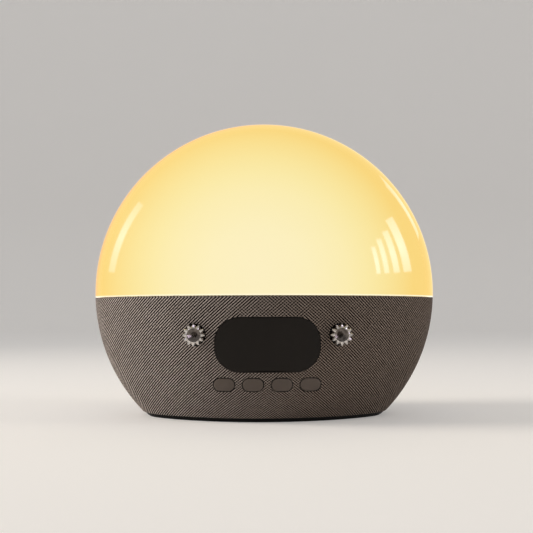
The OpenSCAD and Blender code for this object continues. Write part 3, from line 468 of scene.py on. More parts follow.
    def share(self, tree: Tree, place: Socket,
              across: Socket) -> Socket:
        """Works out how much of the falling family shows, in patches that grow towards the right; this is
        painted light.

        Args:
            tree: the material's node tree.
            place: the object's own coordinates.
            across: how far right a point lies, from 0 to 1.

        Returns:
            The share, from 0 to 1.
        """
        mostly = add_node(tree, "MapRange", {
            "Value": across, "To Min": self.painted_light_falling_share[0], "To Max": self.painted_light_falling_share[1]})
        patches = add_node(tree, "TexNoise", {
            "Vector": place, "Scale": 1 / (self.patch_mm * MM), "Detail": 2.0})
        pushed = add_node(tree, "MapRange", {
            "Value": patches.outputs["Fac"], "From Min": NOISE_LOW, "From Max": NOISE_HIGH,
            "To Min": -self.patch_push, "To Max": self.patch_push})
        return add_node(tree, "Math", {
            0: mostly.outputs["Result"], 1: pushed.outputs["Result"]}, operation="ADD",
            use_clamp=True).outputs["Value"]


# What each finish gives the eye is said beside it. Tones are sRGB.
OPAL = GlowFinish("opal_acrylic", "#4A3A1E", "#46361C", 0.06, ior=1.49, relief=Relief.POLISHED,
                  grain_mm=30.0, height_mm=0.02, gloss_drift=0.02)  # wet gloss over a warm, milky glow
CLOTH = WeaveFinish("woven_fabric", "#BFB4AE", "#3A322C", 0.85, height_mm=0.1, sheen=0.08,
                    specular=0.05)  # dry, ribbed, a little fuzzy at the edge
WINDOW = Finish("smoked_acrylic", "#17110C", "#140F0A", 0.38, specular=0.2, ior=1.49, relief=Relief.POLISHED,
                grain_mm=6.0, height_mm=0.004, gloss_drift=0.04)  # near-black, hard-coated satin
BUTTON = Finish("taupe_button", "#60554D", "#574C45", 0.62, grain_mm=0.5, height_mm=0.02,
                sheen=0.15, drift_mm=6.0)  # soft-touch paint: matt, a little velvety
CHROME = Finish("chrome_plate", "#DCD8D4", "#BDB6B0", 0.06, metallic=1.0, relief=Relief.POLISHED,
                grain_mm=2.5, height_mm=0.02, gloss_drift=0.03)  # bright plated mirror
DISH_SHADE_CHROME = Finish("dish_shade_chrome", "#8A827D", "#3A3532", 0.12, metallic=1.0, relief=Relief.POLISHED,
                     grain_mm=1.5, height_mm=0.05, drift_mm=4.0)  # darker plating in the dish: painted shade and dark reflection of the deep dish
PLAIN_FINISHES = {finish.name: finish for finish in (
    OPAL, CLOTH, WINDOW, BUTTON, CHROME,
    Finish("white_abs", "#ECEAE4", "#E2DFD8", 0.45),  # moulded white, fine grain
    Finish("bare_aluminium", "#B9BBBD", "#A2A4A7", 0.32, metallic=1.0, relief=Relief.BRUSHED,
           height_mm=0.03),  # mill-finished sheet with rolling lines
    BoardFinish("white_board", "#E9EAE6", "#D6D8D2", 0.3, height_mm=0.03),  # white lacquer
    Finish("led_lens", "#E6C74A", "#D9B63A", 0.22, ior=1.45, relief=Relief.CELLS,
           height_mm=0.01),  # yellow phosphor gel
    Finish("grey_abs", "#4A4744", "#403D3A", 0.55),  # moulded dark grey
    Finish("black_abs", "#0B0A0A", "#070606", 0.6, specular=0.12),  # moulded black, deep grain
    Finish("black_rubber", "#070707", "#050505", 0.9, relief=Relief.CAST, specular=0.1),  # dull, grippy
    Finish("display_block", "#1A1A1C", "#121214", 0.25, relief=Relief.POLISHED),  # potted epoxy
    BoardFinish("green_board", "#1F5A36", "#2D7148", 0.28, height_mm=0.03),  # green lacquer
    Finish("switch_plastic", "#1B1B1C", "#131314", 0.45),  # black nylon
    Finish("die_cast_zinc", "#9EA0A2", "#87898C", 0.4, metallic=1.0, relief=Relief.CAST),  # dull cast grey
    Finish("nylon", "#E8E2D4", "#DBD4C4", 0.5),  # waxy off-white
    Finish("machined_steel", "#B4B4B2", "#9A9A98", 0.22, metallic=1.0, relief=Relief.BRUSHED),  # bright bar
    Finish("board_parts", "#202022", "#151516", 0.4),  # moulded epoxy packages
    Finish("inlet_plastic", "#161616", "#101010", 0.35),  # glossy black
    Finish("zinc_steel", "#B9BCC0", "#A3A6AB", 0.3, metallic=1.0, relief=Relief.CAST),  # bright zinc
    Finish("speaker_steel", "#2A2B2D", "#1F2022", 0.45, metallic=0.6, relief=Relief.CAST),  # black dip
    Finish("ferrite", "#3A393A", "#2B2A2B", 0.7, relief=Relief.CAST, grain_mm=0.6),  # sintered, dull
    Finish("paper_cone", "#1E1C1B", "#151413", 0.9, relief=Relief.FIBROUS, grain_mm=0.8,
           height_mm=0.08),  # felted pulp
    Finish("copper_coil", "#B8693A", "#9C5429", 0.3, metallic=1.0, relief=Relief.WOUND,
           height_mm=0.06),  # enamelled wire
    Finish("surround_rubber", "#151515", "#0E0E0E", 0.65, relief=Relief.POLISHED),  # smooth rubber
    Finish("spider_cloth", "#B48A4A", "#9C743A", 0.85, relief=Relief.FIBROUS, height_mm=0.06),  # resin cloth
    Finish("gasket_foam", "#1B1B1C", "#111112", 0.95, relief=Relief.CELLS, grain_mm=0.6,
           height_mm=0.15),  # open cells
    Finish("black_screw", "#262628", "#19191B", 0.35, metallic=0.8, relief=Relief.CAST),  # black oxide
    Finish("white_sleeve", "#E4E2DC", "#D6D3CC", 0.55, relief=Relief.POLISHED),  # soft PVC
    Finish("black_sleeve", "#161616", "#0F0F0F", 0.55, relief=Relief.POLISHED),  # soft PVC
    Finish("red_sleeve", "#A32A22", "#8E221B", 0.55, relief=Relief.POLISHED),  # soft PVC
    Finish("ribbon_plastic", "#B7B7B4", "#A6A6A2", 0.5, relief=Relief.BRUSHED, height_mm=0.08),  # flat cable
)}

# ---------- surfaces ----------

HALVINGS = 40  # a ray's span is halved this often, far below a micrometre
FINE_STEPS = 4000  # steps in which the middle section's outline is measured
MERGE_M = 1e-7  # corners nearer than this, in metres, are one
CRISP_DEG = 35.0  # edges that fold by more than this are seen as edges


@dataclass
class Loft:
    """A surface through rings of points, each ring closed.

    Attributes:
        rings: points in millimetres, as rows by columns by three.
        chart: cloth coordinates in millimetres, as rows by columns plus one by two.
        start_pole: whether the first ring is one point.
        end_pole: whether the last ring is one point.
        joined: whether the last ring meets the first, as on a tyre.
    """

    rings: Array
    chart: Array | None = None
    start_pole: bool = False
    end_pole: bool = False
    joined: bool = False

    def pairs(self, grid: Array) -> tuple[Array, Array]:
        """Gives each row and the row after it, and the first after the last where the rings are joined."""
        return (grid, np.roll(grid, -1, axis=0)) if self.joined else (grid[:-1], grid[1:])

    def quads(self) -> Array:
        """Numbers the corners of every face, ring by ring.

        Returns:
            Rows of four corner numbers; a face at a pole names the pole twice.
        """
        rows, columns = self.rings.shape[:2]
        corner = np.arange(rows * columns).reshape(rows, columns)
        if self.start_pole:
            corner[0] = corner[0, 0]
        if self.end_pole:
            corner[-1] = corner[-1, 0]
        above, below = self.pairs(corner)
        faces = np.stack([above, np.roll(above, -1, axis=1), np.roll(below, -1, axis=1), below], axis=-1)
        return faces.reshape(-1, 4)

    def charted(self) -> Array:
        """Gives the cloth coordinates of every face corner, in the order of quads.

        Returns:
            Faces by four by two, all nought where the surface has no chart.
        """
        if self.chart is None:
            return np.zeros((len(self.quads()), 4, 2))
        above, below = self.pairs(self.chart)
        corners = np.stack([above[:, :-1], above[:, 1:], below[:, 1:], below[:, :-1]], axis=2)
        return corners.reshape(-1, 4, 2)

    def volume(self) -> float:
        """Sums the signed volume under the faces, which is negative where they point inwards."""
        points = self.rings.reshape(-1, 3)
        a, b, c, d = (points[column] for column in self.quads().T)
        return float(np.sum(np.cross(b, c) * a + np.cross(c, d) * a) / 6)


def make_piece(name: str, lofts: list[Loft], finishes: list[Finish], sharp_deg: float = CRISP_DEG) -> Piece:
    """Makes one object out of closed surfaces, with its faces outward.

    A corner that repeats the one before it, as at a pole, is left out of its face.

    Args:
        name: the piece's name.
        lofts: its closed surfaces.
        finishes: its finishes, of which every face has the first.
        sharp_deg: edges that fold by more than this stay crisp.

    Returns:
        The object, at the origin with its place in its mesh.
    """
    points, faces, charts = [], [], []
    first = 0
    for loft in lofts:
        turn = slice(None) if loft.volume() > 0 else slice(None, None, -1)
        points.append(loft.rings.reshape(-1, 3) * MM)
        faces.append(loft.quads()[:, turn] + first)
        charts.append(loft.charted()[:, turn])
        first += len(points[-1])
    quads = np.concatenate(faces)
    kept = quads != np.roll(quads, 1, axis=1)
    mesh = bpy.data.meshes.new(name)
    mesh.from_pydata(np.concatenate(points).tolist(), [],
                     [quad[keep].tolist() for quad, keep in zip(quads, kept)])
    mesh.uv_layers.new(name="cloth").data.foreach_set("uv", np.concatenate(charts)[kept].ravel())
    mesh.shade_smooth()
    shell = bmesh.new()
    shell.from_mesh(mesh)
    loose = [corner for corner in shell.verts if not corner.link_faces]
    bmesh.ops.delete(shell, geom=loose, context="VERTS")
    bmesh.ops.remove_doubles(shell, verts=shell.verts, dist=MERGE_M)
    shell.to_mesh(mesh)
    shell.free()
    mesh.set_sharp_from_angle(angle=math.radians(sharp_deg))
    for finish in finishes:
        mesh.materials.append(finish.material())
    piece = bpy.data.objects.new(name, mesh)
    bpy.context.scene.collection.objects.link(piece)
    return piece


def cut_piece(piece: Piece, cutter: Piece) -> None:
    """Cuts openings through a piece and keeps the result in its mesh.

    Args:
        piece: the piece that is cut.
        cutter: closed solids that stand where the openings go; it is deleted.
    """
    modifier = piece.modifiers.new("openings", "BOOLEAN")
    modifier.object = cutter
    modifier.operation = "DIFFERENCE"
    modifier.solver = "EXACT"
    graph = bpy.context.evaluated_depsgraph_get()
    cut = bpy.data.meshes.new_from_object(piece.evaluated_get(graph), depsgraph=graph)
    piece.modifiers.clear()
    piece.data = cut
    cut.set_sharp_from_angle(angle=math.radians(CRISP_DEG))
    bpy.data.objects.remove(cutter)


@dataclass(frozen=True)
class Pebble:
    """The body's outer form: a four-arc oval turned about the front-to-back axis.

    Two large arcs make the front and the back, and two arcs of the rim's radius join them.
    """

    width: float = 205.0
    depth: float = 124.0
    rim: float = 30.7
    centre_z: float = 74.2

    @property
    def face_r(self) -> float:
        """Radius of the front and back faces, from the tangency of the arcs."""
        half_w, half_d = self.width / 2, self.depth / 2
        return (half_w ** 2 + half_d ** 2 - 2 * half_w * self.rim) / (2 * (half_d - self.rim))

    @property
    def face_sink(self) -> float:
        """How far the face's centre lies behind the middle plane."""
        return self.face_r - self.depth / 2

    def distance(self, points: Array) -> Array:
        """Distance from the surface, negative inside.

        With r the distance from the front-to-back axis and a the distance from the middle plane, a
        point nearer the face than the meeting angle measures from the face's centre, and any other
        from the rim's centre.

        Args:
            points: any array of points, in millimetres.

        Returns:
            The distances.
        """
        r = np.hypot(points[..., 0], points[..., 2] - self.centre_z)
        a = np.abs(points[..., 1])
        waist = self.width / 2 - self.rim
        meet = math.asin(waist / (self.face_r - self.rim))
        face = np.hypot(r, a + self.face_sink) - self.face_r
        rim = np.hypot(r - waist, a) - self.rim
        return np.where(np.arctan2(r, a + self.face_sink) < meet, face, rim)

    def cast(self, start: Array, way: Array, inset: Array | float = 0.0) -> Array:
        """Finds where rays leave the form shrunk by an inset, by halving the span over and over.

        Args:
            start: points inside the form.
            way: unit directions.
            inset: depth under the surface.

        Returns:
            The points where the rays meet that depth.
        """
        near = np.zeros(np.broadcast_shapes(start.shape, way.shape)[:-1])
        far = near + self.width
        for _ in range(HALVINGS):
            middle = (near + far) / 2
            inside = self.distance(start + way * middle[..., None]) < -inset
            near = np.where(inside, middle, near)
            far = np.where(inside, far, middle)
        return start + way * near[..., None]

    def front(self, x: Array, z: Array, proud: Array | float = 0.0) -> Array:
        """Depth of the front face, on the sphere that the large arc turns into.

        Args:
            x: places across.
            z: heights.
            proud: how far the wanted surface stands out of the face.

        Returns:
            The surface's y.
        """
        r = np.hypot(x, z - self.centre_z)
        return self.face_sink - np.sqrt((self.face_r + proud) ** 2 - r ** 2)

    def headings(self, count: int) -> Array:
        """Spreads directions round the middle section so that the columns are evenly spaced.

        The first heading points to the front and they go to the right. The section's outline is
        measured at many fine steps, and its length is shared out evenly.

        Args:
            count: how many directions.

        Returns:
            Angles from the front, one more than asked for, so that the last is a full turn.
        """
        fine = np.linspace(0, TURN, FINE_STEPS + 1)
        ways = np.stack([np.sin(fine), -np.cos(fine), np.zeros_like(fine)], axis=-1)
        outline = self.cast(np.array([0.0, 0.0, self.centre_z]), ways)
        steps = np.linalg.norm(np.diff(outline, axis=0), axis=1)
        length = np.concatenate([[0.0], np.cumsum(steps)])
        return np.interp(np.linspace(0, length[-1], count + 1), length, fine)


def heading_ways(headings: Array, rise: Array) -> Array:
    """Unit directions at each rise above the horizon, one row per rise.

    Args:
        headings: angles from the front, going to the right.
        rise: angles above the horizon.

    Returns:
        Rows by columns by three.
    """
    flat = np.cos(rise)[:, None]
    return np.stack([flat * np.sin(headings), -flat * np.cos(headings),
                     np.broadcast_to(np.sin(rise)[:, None], (len(rise), len(headings)))], axis=-1)


def node_box(node: str) -> tuple[Array, Array]:
    """A node's lowest and highest corners, in millimetres.

    Args:
        node: the node's name.

    Returns:
        The two corners.
    """
    low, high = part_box(node)
    return np.array(low) / MM, np.array(high) / MM


# ---------- the pieces ----------


@dataclass
class LightDome:
    """The opal shell that glows: outer skin, moulded edge and inner skin."""

    form: Pebble
    wall: float = 2.4
    edge: float = 0.35
    lowest_deg: float = 1.0
    columns: int = 240
    outer_rows: int = 110
    inner_rows: int = 48
    corner_rows: int = 5

    def rings(self) -> Array:
        """Points of the shell from the crown down the outside and back up the inside.

        The outer and inner skins are rays from the middle of the seam's plane that stop at the form
        and at the form shrunk by the wall. The edge between them is a quarter round of the outer
        corner, then a flat land.

        Returns:
            Rows by columns by three, in millimetres.
        """
        low, _ = node_box("dome_diffuser")
        start = np.array([0.0, 0.0, low[2]])
        headings = self.form.headings(self.columns)[:-1]
        lowest = math.radians(self.lowest_deg)
        fall = np.linspace(math.pi / 2, lowest, self.outer_rows)
        outer = self.form.cast(start, heading_ways(headings, fall))
        rise = np.linspace(lowest, math.pi / 2, self.inner_rows)
        inner = self.form.cast(start, heading_ways(headings, rise), self.wall)
        level = heading_ways(headings, np.zeros(1))
        corner = []
        for angle in np.linspace(0, math.pi / 2, self.corner_rows):
            lift = np.array([0.0, 0.0, self.edge * (1 - math.sin(angle))])
            corner.append(self.form.cast(start + lift, level, self.edge * (1 - math.cos(angle))))
        land = self.form.cast(start, level, self.wall)
        return np.concatenate([outer, *corner, land, inner])

    def build(self) -> Piece:
        """Makes the dome and stands it for its node.

        Returns:
            The piece.
        """
        shell = Loft(self.rings(), start_pole=True, end_pole=True)
        piece = make_piece("light_dome", [shell], [OPAL], sharp_deg=60.0)
        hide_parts("dome_diffuser")
        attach(piece, "clock")
        return piece


@dataclass(frozen=True)
class Outline:
    """A rounded rectangle seen from the front.

    Attributes:
        x: its middle across.
        z: its middle height.
        width: size across.
        height: size up.
        radius: corner radius, half the height on a pill.
        steps: points on each corner.
    """

    x: float
    z: float
    width: float
    height: float
    radius: float
    steps: int = 14

    def points(self, share: Array, grow: Array | float = 0.0) -> Array:
        """Rings from the outline in towards its middle line.

        Each corner is an arc about its own centre. The middle line is the segment that a pill of
        the same size has, and a share of one is the outline, nought the middle line.

        Args:
            share: one value per ring.
            grow: how far each ring's outline lies outside the shape.

        Returns:
            Rings by points by two, across and up.
        """
        angle = np.concatenate([np.linspace(q, q + 1, self.steps) for q in range(4)]) * math.pi / 2
        side_x = np.repeat([1, -1, -1, 1], self.steps)
        side_z = np.repeat([1, 1, -1, -1], self.steps)
        rim = np.stack([side_x * (self.width / 2 - self.radius) + self.radius * np.cos(angle),
                        side_z * (self.height / 2 - self.radius) + self.radius * np.sin(angle)], axis=-1)
        out = np.stack([np.cos(angle), np.sin(angle)], axis=-1)
        reach = (self.width - self.height) / 2
        middle = np.stack([np.clip(rim[:, 0], -reach, reach), np.zeros(len(rim))], axis=-1)
        wide = rim + out * np.reshape(grow, (-1, 1, 1))
        ring = middle + (wide - middle) * np.reshape(share, (-1, 1, 1))
        return ring + np.array([self.x, self.z])

    def prism(self, grow: float, y0: float, y1: float) -> Loft:
        """A closed straight solid through the shape, for an opening.

        Args:
            grow: clearance all round.
            y0: its front.
            y1: its back.

        Returns:
            The solid.
        """
        return Loft(stand(self.points(np.array([0.0, 1.0, 1.0, 0.0]), grow), np.array([y0, y0, y1, y1])))

    def front(self, edge: float, rows: int, turns: int) -> tuple[Array, Array]:
        """Shares and sinks of a front's rings, from the middle line to the side, with a round edge.

        The share grows evenly to where the edge starts. There a quarter round leads back to the side.

        Args:
            edge: the radius of the quarter round.
            rows: how many rings lie before it.
            turns: how many rings lie on it.

        Returns:
            One share and one sink per ring.
        """
        round_share = edge / (self.height / 2)
        face = np.linspace(0, 1 - round_share, rows)
        turn = np.linspace(0, math.pi / 2, turns + 1)[1:]
        share = np.concatenate([face, 1 - round_share * (1 - np.sin(turn))])
        return share, np.concatenate([face * 0, edge * (1 - np.cos(turn))])


def stand(ring: Array, y: Array) -> Array:
    """Stands rings that are drawn across and up at their depths.

    Args:
        ring: rings by points by two.
        y: depth, one per ring, or rings by points.

    Returns:
        Rings by points by three.
    """
    depth = np.broadcast_to(np.reshape(y, (len(ring), -1)), ring.shape[:2])
    return np.stack([ring[..., 0], depth, ring[..., 1]], axis=-1)


def turned(x: float, z: float, radius: Array, y: Array, columns: int = 48) -> Array:
    """Rings round a front-to-back axis: a profile of radius and depth, turned.

    Args:
        x: the axis across.
        z: the axis's height.
        radius: one per ring, or rings by columns.
        y: depth, one per ring, or rings by columns.
        columns: points in each ring.

    Returns:
        Rings by columns by three.
    """
    angle = np.linspace(0, TURN, columns, endpoint=False)
    radius, y = (np.reshape(part, (len(part), -1)) * np.ones(columns) for part in (radius, y))
    return np.stack([x + radius * np.cos(angle), y, z + radius * np.sin(angle)], axis=-1)


def rod(x: float, z: float, radius: float, y0: float, y1: float) -> Loft:
    """A round solid along a front-to-back axis, for an opening.

    Args:
        x: the axis across.
        z: the axis's height.
        radius: its radius.
        y0: its front.
        y1: its back.

    Returns:
        The solid.
    """
    rings = turned(x, z, np.array([0, radius, radius, 0]), np.array([y0, y0, y1, y1]))
    return Loft(rings, start_pole=True, end_pole=True)


@dataclass
class Controls:
    """Where the openings of the front are, from the frame's own pieces."""

    window_radius: float = 13.4
    button_lip: float = 0.8

    def window(self) -> Outline:
        """Works out the display window's outline, which fills its node's box.

        Returns:
            The outline.
        """
        low, high = node_box("display_window")
        x, _, z = (low + high) / 2
        width, _, height = high - low
        return Outline(x, z, width, height, self.window_radius, steps=24)

    def button(self, number: int) -> Outline:
        """One button cap's outline, which is its node's box without the lip.

        Args:
            number: 1 to 4 from the left.

        Returns:
            The outline.
        """
        low, high = node_box(f"button_{number}")
        x, _, z = (low + high) / 2
        width, _, height = high - low - 2 * self.button_lip
        return Outline(x, z, width, height, height / 2)


@dataclass
class WovenSleeve:
    """The cloth that wraps the lower body, with its openings cut and its edges turned."""

    form: Pebble
    controls: Controls
    thickness: float = 1.0
    edge: float = 0.4
    window_gap: float = 0.25
    button_gap: float = 0.4
    knob_gap: float = 0.15
    inlet_recess: float = 12.4
    taper: float = 0.4
    columns: int = 360
    rows: int = 64
    inner_rows: int = 8

    def rings(self) -> tuple[Array, Array]:
        """Points of the cloth down the outside, round the hem and up the inside, with its chart.

        Each point is a level ray from the vertical axis that stops at the form, or at the form
        shrunk by the cloth's thickness. Both edges are half rounds. The chart's first coordinate is
        the length along each ring from the front's middle, stretched by the taper's share of what
        the ring is shorter than the widest, because the cloth is eased in that much towards the
        foot. What is left meets at a seam in the middle of the back. The second is the length down.

        Returns:
            The rings and the chart.
        """
        low, high = node_box("fabric_cover")
        bottom, top = low[2], high[2]
        headings = self.form.headings(self.columns) + math.pi
        level = heading_ways(headings, np.zeros(1))
        half = self.thickness / 2
        outer = [(z, 0.0) for z in np.linspace(top - half, bottom + half, self.rows)]
        inner = [(z, self.thickness) for z in np.linspace(bottom + half, top - half, self.inner_rows)]
        arc = np.linspace(0, math.pi, 9)[1:-1]
        hem = [(bottom + half - half * math.sin(a), half - half * math.cos(a)) for a in arc]
        lip = [(top - half + half * math.sin(a), half + half * math.cos(a)) for a in arc]
        rings = [self.form.cast(np.array([0.0, 0.0, z]), level[0], inset) for z, inset in
                 outer + hem + inner + lip]
        points = np.stack(rings)
        side = points[:, self.columns // 4]
        down = np.concatenate([[0.0], np.cumsum(np.linalg.norm(np.diff(side, axis=0), axis=1))])
        steps = np.linalg.norm(np.diff(points, axis=1), axis=2)
        along = np.concatenate([np.zeros((len(points), 1)), np.cumsum(steps, axis=1)], axis=1)
        girth = along[:, -1:]
        along = (along - girth / 2) * (1 + self.taper * (girth.max() / girth - 1))
        chart = np.stack(np.broadcast_arrays(along, -down[:, None]), axis=-1)
        return points[:, :-1], chart

    def openings(self) -> list[Loft]:
        """Makes the solids that stand where the cloth is cut.

        Returns:
            A prism for the window and each button, and a rod for each knob and the inlet.
        """
        front, back = -self.form.depth, self.form.depth
        cuts = [self.controls.window().prism(self.window_gap, front, 0.0)]
        cuts += [self.controls.button(k).prism(self.button_gap, front, 0.0) for k in range(1, 5)]
        for side in ("left", "right"):
            low, high = node_box(f"{side}_knob")
            x, _, z = (low + high) / 2
            radius = (high[0] - low[0]) / 2 + self.knob_gap
            cuts.append(rod(x, z, radius, front, 0.0))
        low, high = node_box("dc_inlet")
        x, _, z = (low + high) / 2
        cuts.append(rod(x, z, self.inlet_recess / 2, 0.0, back))
        return cuts

    def build(self) -> Piece:
        """Makes the sleeve and stands it for its node.

        Returns:
            The piece.
        """
        rings, chart = self.rings()
        piece = make_piece("woven_sleeve", [Loft(rings, chart, joined=True)], [CLOTH])
        cut_piece(piece, make_piece("sleeve_openings", self.openings(), [CLOTH]))
        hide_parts("fabric_cover")
        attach(piece, "clock")
        return piece


@dataclass
class DisplayWindow:
    """The pill-shaped window, which follows the body's front and has a softened edge."""

    form: Pebble
    outline: Outline
    proud: float = 0.1
    thickness: float = 2.0
    edge: float = 0.3
    rows: int = 16
    turns: int = 5

    def build(self) -> Piece:
        """Makes the window and stands it for its node.

        The front is the body's face pushed out, its edge a quarter round, its side straight and its
        back the same face pushed in by the window's thickness.

        Returns:
            The piece.
        """
        share, sink = self.outline.front(self.edge, self.rows, self.turns)
        share = np.concatenate([share, [1.0], share[:self.rows][::-1]])
        sink = np.concatenate([sink, np.full(self.rows + 1, self.thickness)])
        ring = self.outline.points(share)
        y = self.form.front(ring[..., 0], ring[..., 1], (self.proud - sink)[:, None])
        piece = make_piece("window_lens", [Loft(stand(ring, y))], [WINDOW])
        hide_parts("display_window")
        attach(piece, "clock")
        return piece


@dataclass
class ButtonCap:
    """One push button: a crowned pill, its lip behind the cloth and the post that meets the switch."""

    form: Pebble
    outline: Outline
    number: int
    proud: float = 0.3
    crown: float = 0.12
    edge: float = 0.7
    lip: float = 0.8
    lip_thickness: float = 1.0
    post: float = 4.0
    post_length: float = 1.0
    post_root: float = 0.5
    chamfer: float = 0.2
    rows: int = 9
    turns: int = 6

    def build(self) -> Piece:
        """Makes the cap and stands it for its node.

        The front is the body's face pushed out, raised by a crown that falls with the square of the
        share from middle to rim, with a quarter round at the edge.

        Returns:
            The piece.
        """
        _, high = node_box(f"button_{self.number}")
        back = high[1] - self.post_length
        share, sink = self.outline.front(self.edge, self.rows, self.turns)
        ring = self.outline.points(share)
        rise = self.proud + self.crown * (1 - share ** 2) - sink - self.crown
        y = self.form.front(ring[..., 0], ring[..., 1], rise[:, None])
        tail_share = np.array([1.0, 1.0, 1.0, 0.0])
        tail_grow = np.array([0.0, self.lip, self.lip, self.lip])
        tail_y = np.array([back - self.lip_thickness, back - self.lip_thickness, back, back])
        tail = self.outline.points(tail_share, tail_grow)
        cap = Loft(np.concatenate([stand(ring, y), stand(tail, tail_y)]))
        r, root, tip = self.post / 2, back - self.post_root, high[1]
        post = Loft(turned(self.outline.x, self.outline.z, np.array([0, r, r, r - self.chamfer, 0]),
                           np.array([root, root, tip - self.chamfer, tip, tip]), 32),
                    start_pole=True, end_pole=True)
        piece = make_piece(f"button_cap_{self.number}", [cap, post], [BUTTON])
        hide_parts(f"button_{self.number}")
        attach(piece, f"button_{self.number}")
        return piece


@dataclass
class CrownKnob:
    """A plated knob with pointed teeth round a bright rim and a dish in its face, whose darker plating is
    painted shade.
    """

    side: str
    teeth: int = 12
    tooth: float = 0.95
    ridge_drop: float = 0.5
    valley_drop: float = 2.15
    shoulder: float = 0.2
    chamfer: float = 0.25
    dish: float = 7.4
    dish_depth: float = 2.7
    dish_room: float = 0.3
    rim: float = 0.15
    rim_step: float = 0.05
    bore: float = 6.04
    bore_depth: float = 7.15
    columns_per_tooth: int = 12
    bowl_rings: int = 5
    face_rings: int = 3
    crisp_deg: float = 9.0

    def build(self) -> Piece:
        """Makes the knob and stands it for its node.

        Seen from the front the outline is a star: its radius rises and falls evenly between the root
        and the tip of each tooth. From the dish's rim each tooth has a ridge that falls a little and
        each root a valley that falls more, so that the ring is cut into flat facets that lean
        sideways. The dish is a cone with as many flat facets, whose corners stand at the ridges: the
        radius of a flat facet grows towards its corners as one over the cosine. The side is
        straight, and the back is bored for the shaft.

        Returns:
            The piece.
        """
        low, high = node_box(f"{self.side}_knob")
        x, _, z = (low + high) / 2
        tip, back = low[1], high[1]
        outer = (high[0] - low[0]) / 2
        columns = self.teeth * self.columns_per_tooth
        phase = np.arange(columns) / self.columns_per_tooth % 1
        point = np.abs(2 * phase - 1)[None, :]
        half = math.pi / self.teeth
        facet = (math.cos(half) / np.cos((2 * phase - 1) * half))[None, :]
        wide = np.ones((1, columns))
        bowl = np.linspace(0, 1, self.bowl_rings)[:, None]
        bowl_r = bowl * facet * self.dish / 2
        bowl_y = (tip + self.rim_step + self.dish_depth * (1 - bowl)) * wide
        rim_r = facet * self.dish / 2 + self.rim
        root = outer - self.tooth
        steps = np.linspace(0, 1, self.face_rings + 1)[1:, None]
        reach = root + self.tooth * point
        face_r = rim_r + (reach - rim_r) * steps
        drop = self.valley_drop + (self.ridge_drop - self.valley_drop) * point
        face_y = tip + drop * steps
        side_r = np.concatenate([reach, reach, reach - self.chamfer])
        side_y = np.concatenate([face_y[-1:] + self.shoulder, (back - self.chamfer) * wide, back * wide])
        bore_r = np.array([[self.bore / 2], [self.bore / 2], [0.0]]) * wide
        bore_y = np.array([[back], [back - self.bore_depth], [back - self.bore_depth]]) * wide
        radius = np.concatenate([bowl_r, rim_r, face_r, side_r, bore_r])
        depth = np.concatenate([bowl_y, tip * wide, face_y, side_y, bore_y])
        body = Loft(turned(x, z, radius, depth, columns), start_pole=True, end_pole=True)
        piece = make_piece(f"{self.side}_crown_knob", [body], [CHROME, DISH_SHADE_CHROME], self.crisp_deg)
        # the dish's faces get the darker plating, which is painted shade
        self.paint_dish_shade(piece, tip)
        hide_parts(f"{self.side}_knob")
        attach(piece, f"{self.side}_knob")
        return piece

    def paint_dish_shade(self, piece: Piece, tip: float) -> None:
        """Gives the faces inside the dish the darker plating, which is painted shade and dark reflection.

        Args:
            piece: the knob.
            tip: the depth of its front.
        """
        low, high = node_box(f"{self.side}_knob")
        x, _, z = (low + high) / 2
        count = len(piece.data.polygons)
        centres = np.empty(count * 3)
        piece.data.polygons.foreach_get("center", centres)
        centres = centres.reshape(-1, 3) / MM
        near = np.hypot(centres[:, 0] - x, centres[:, 2] - z) < self.dish / 2
        shallow = centres[:, 1] < tip + self.dish_depth + self.dish_room
        piece.data.polygons.foreach_set("material_index", (near & shallow).astype(np.int32))


@dataclass
class FrameFinishes:
    """Gives every piece that keeps its own shape the real material of its slot."""

    replaced: set[str] = field(default_factory=set)

    def dress(self) -> int:
        """Sets the finish of each node that still shows.

        Returns:
            How many nodes were dressed.
        """
        dressed = 0
        for name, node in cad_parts.items():
            if name in self.replaced:
                continue
            for slot in node.material_slots:
                plain = slot.material.name.split(".")[0]
                slot.material = PLAIN_FINISHES[plain].material()
            dressed += 1
        return dressed


# ---------- the studio ----------


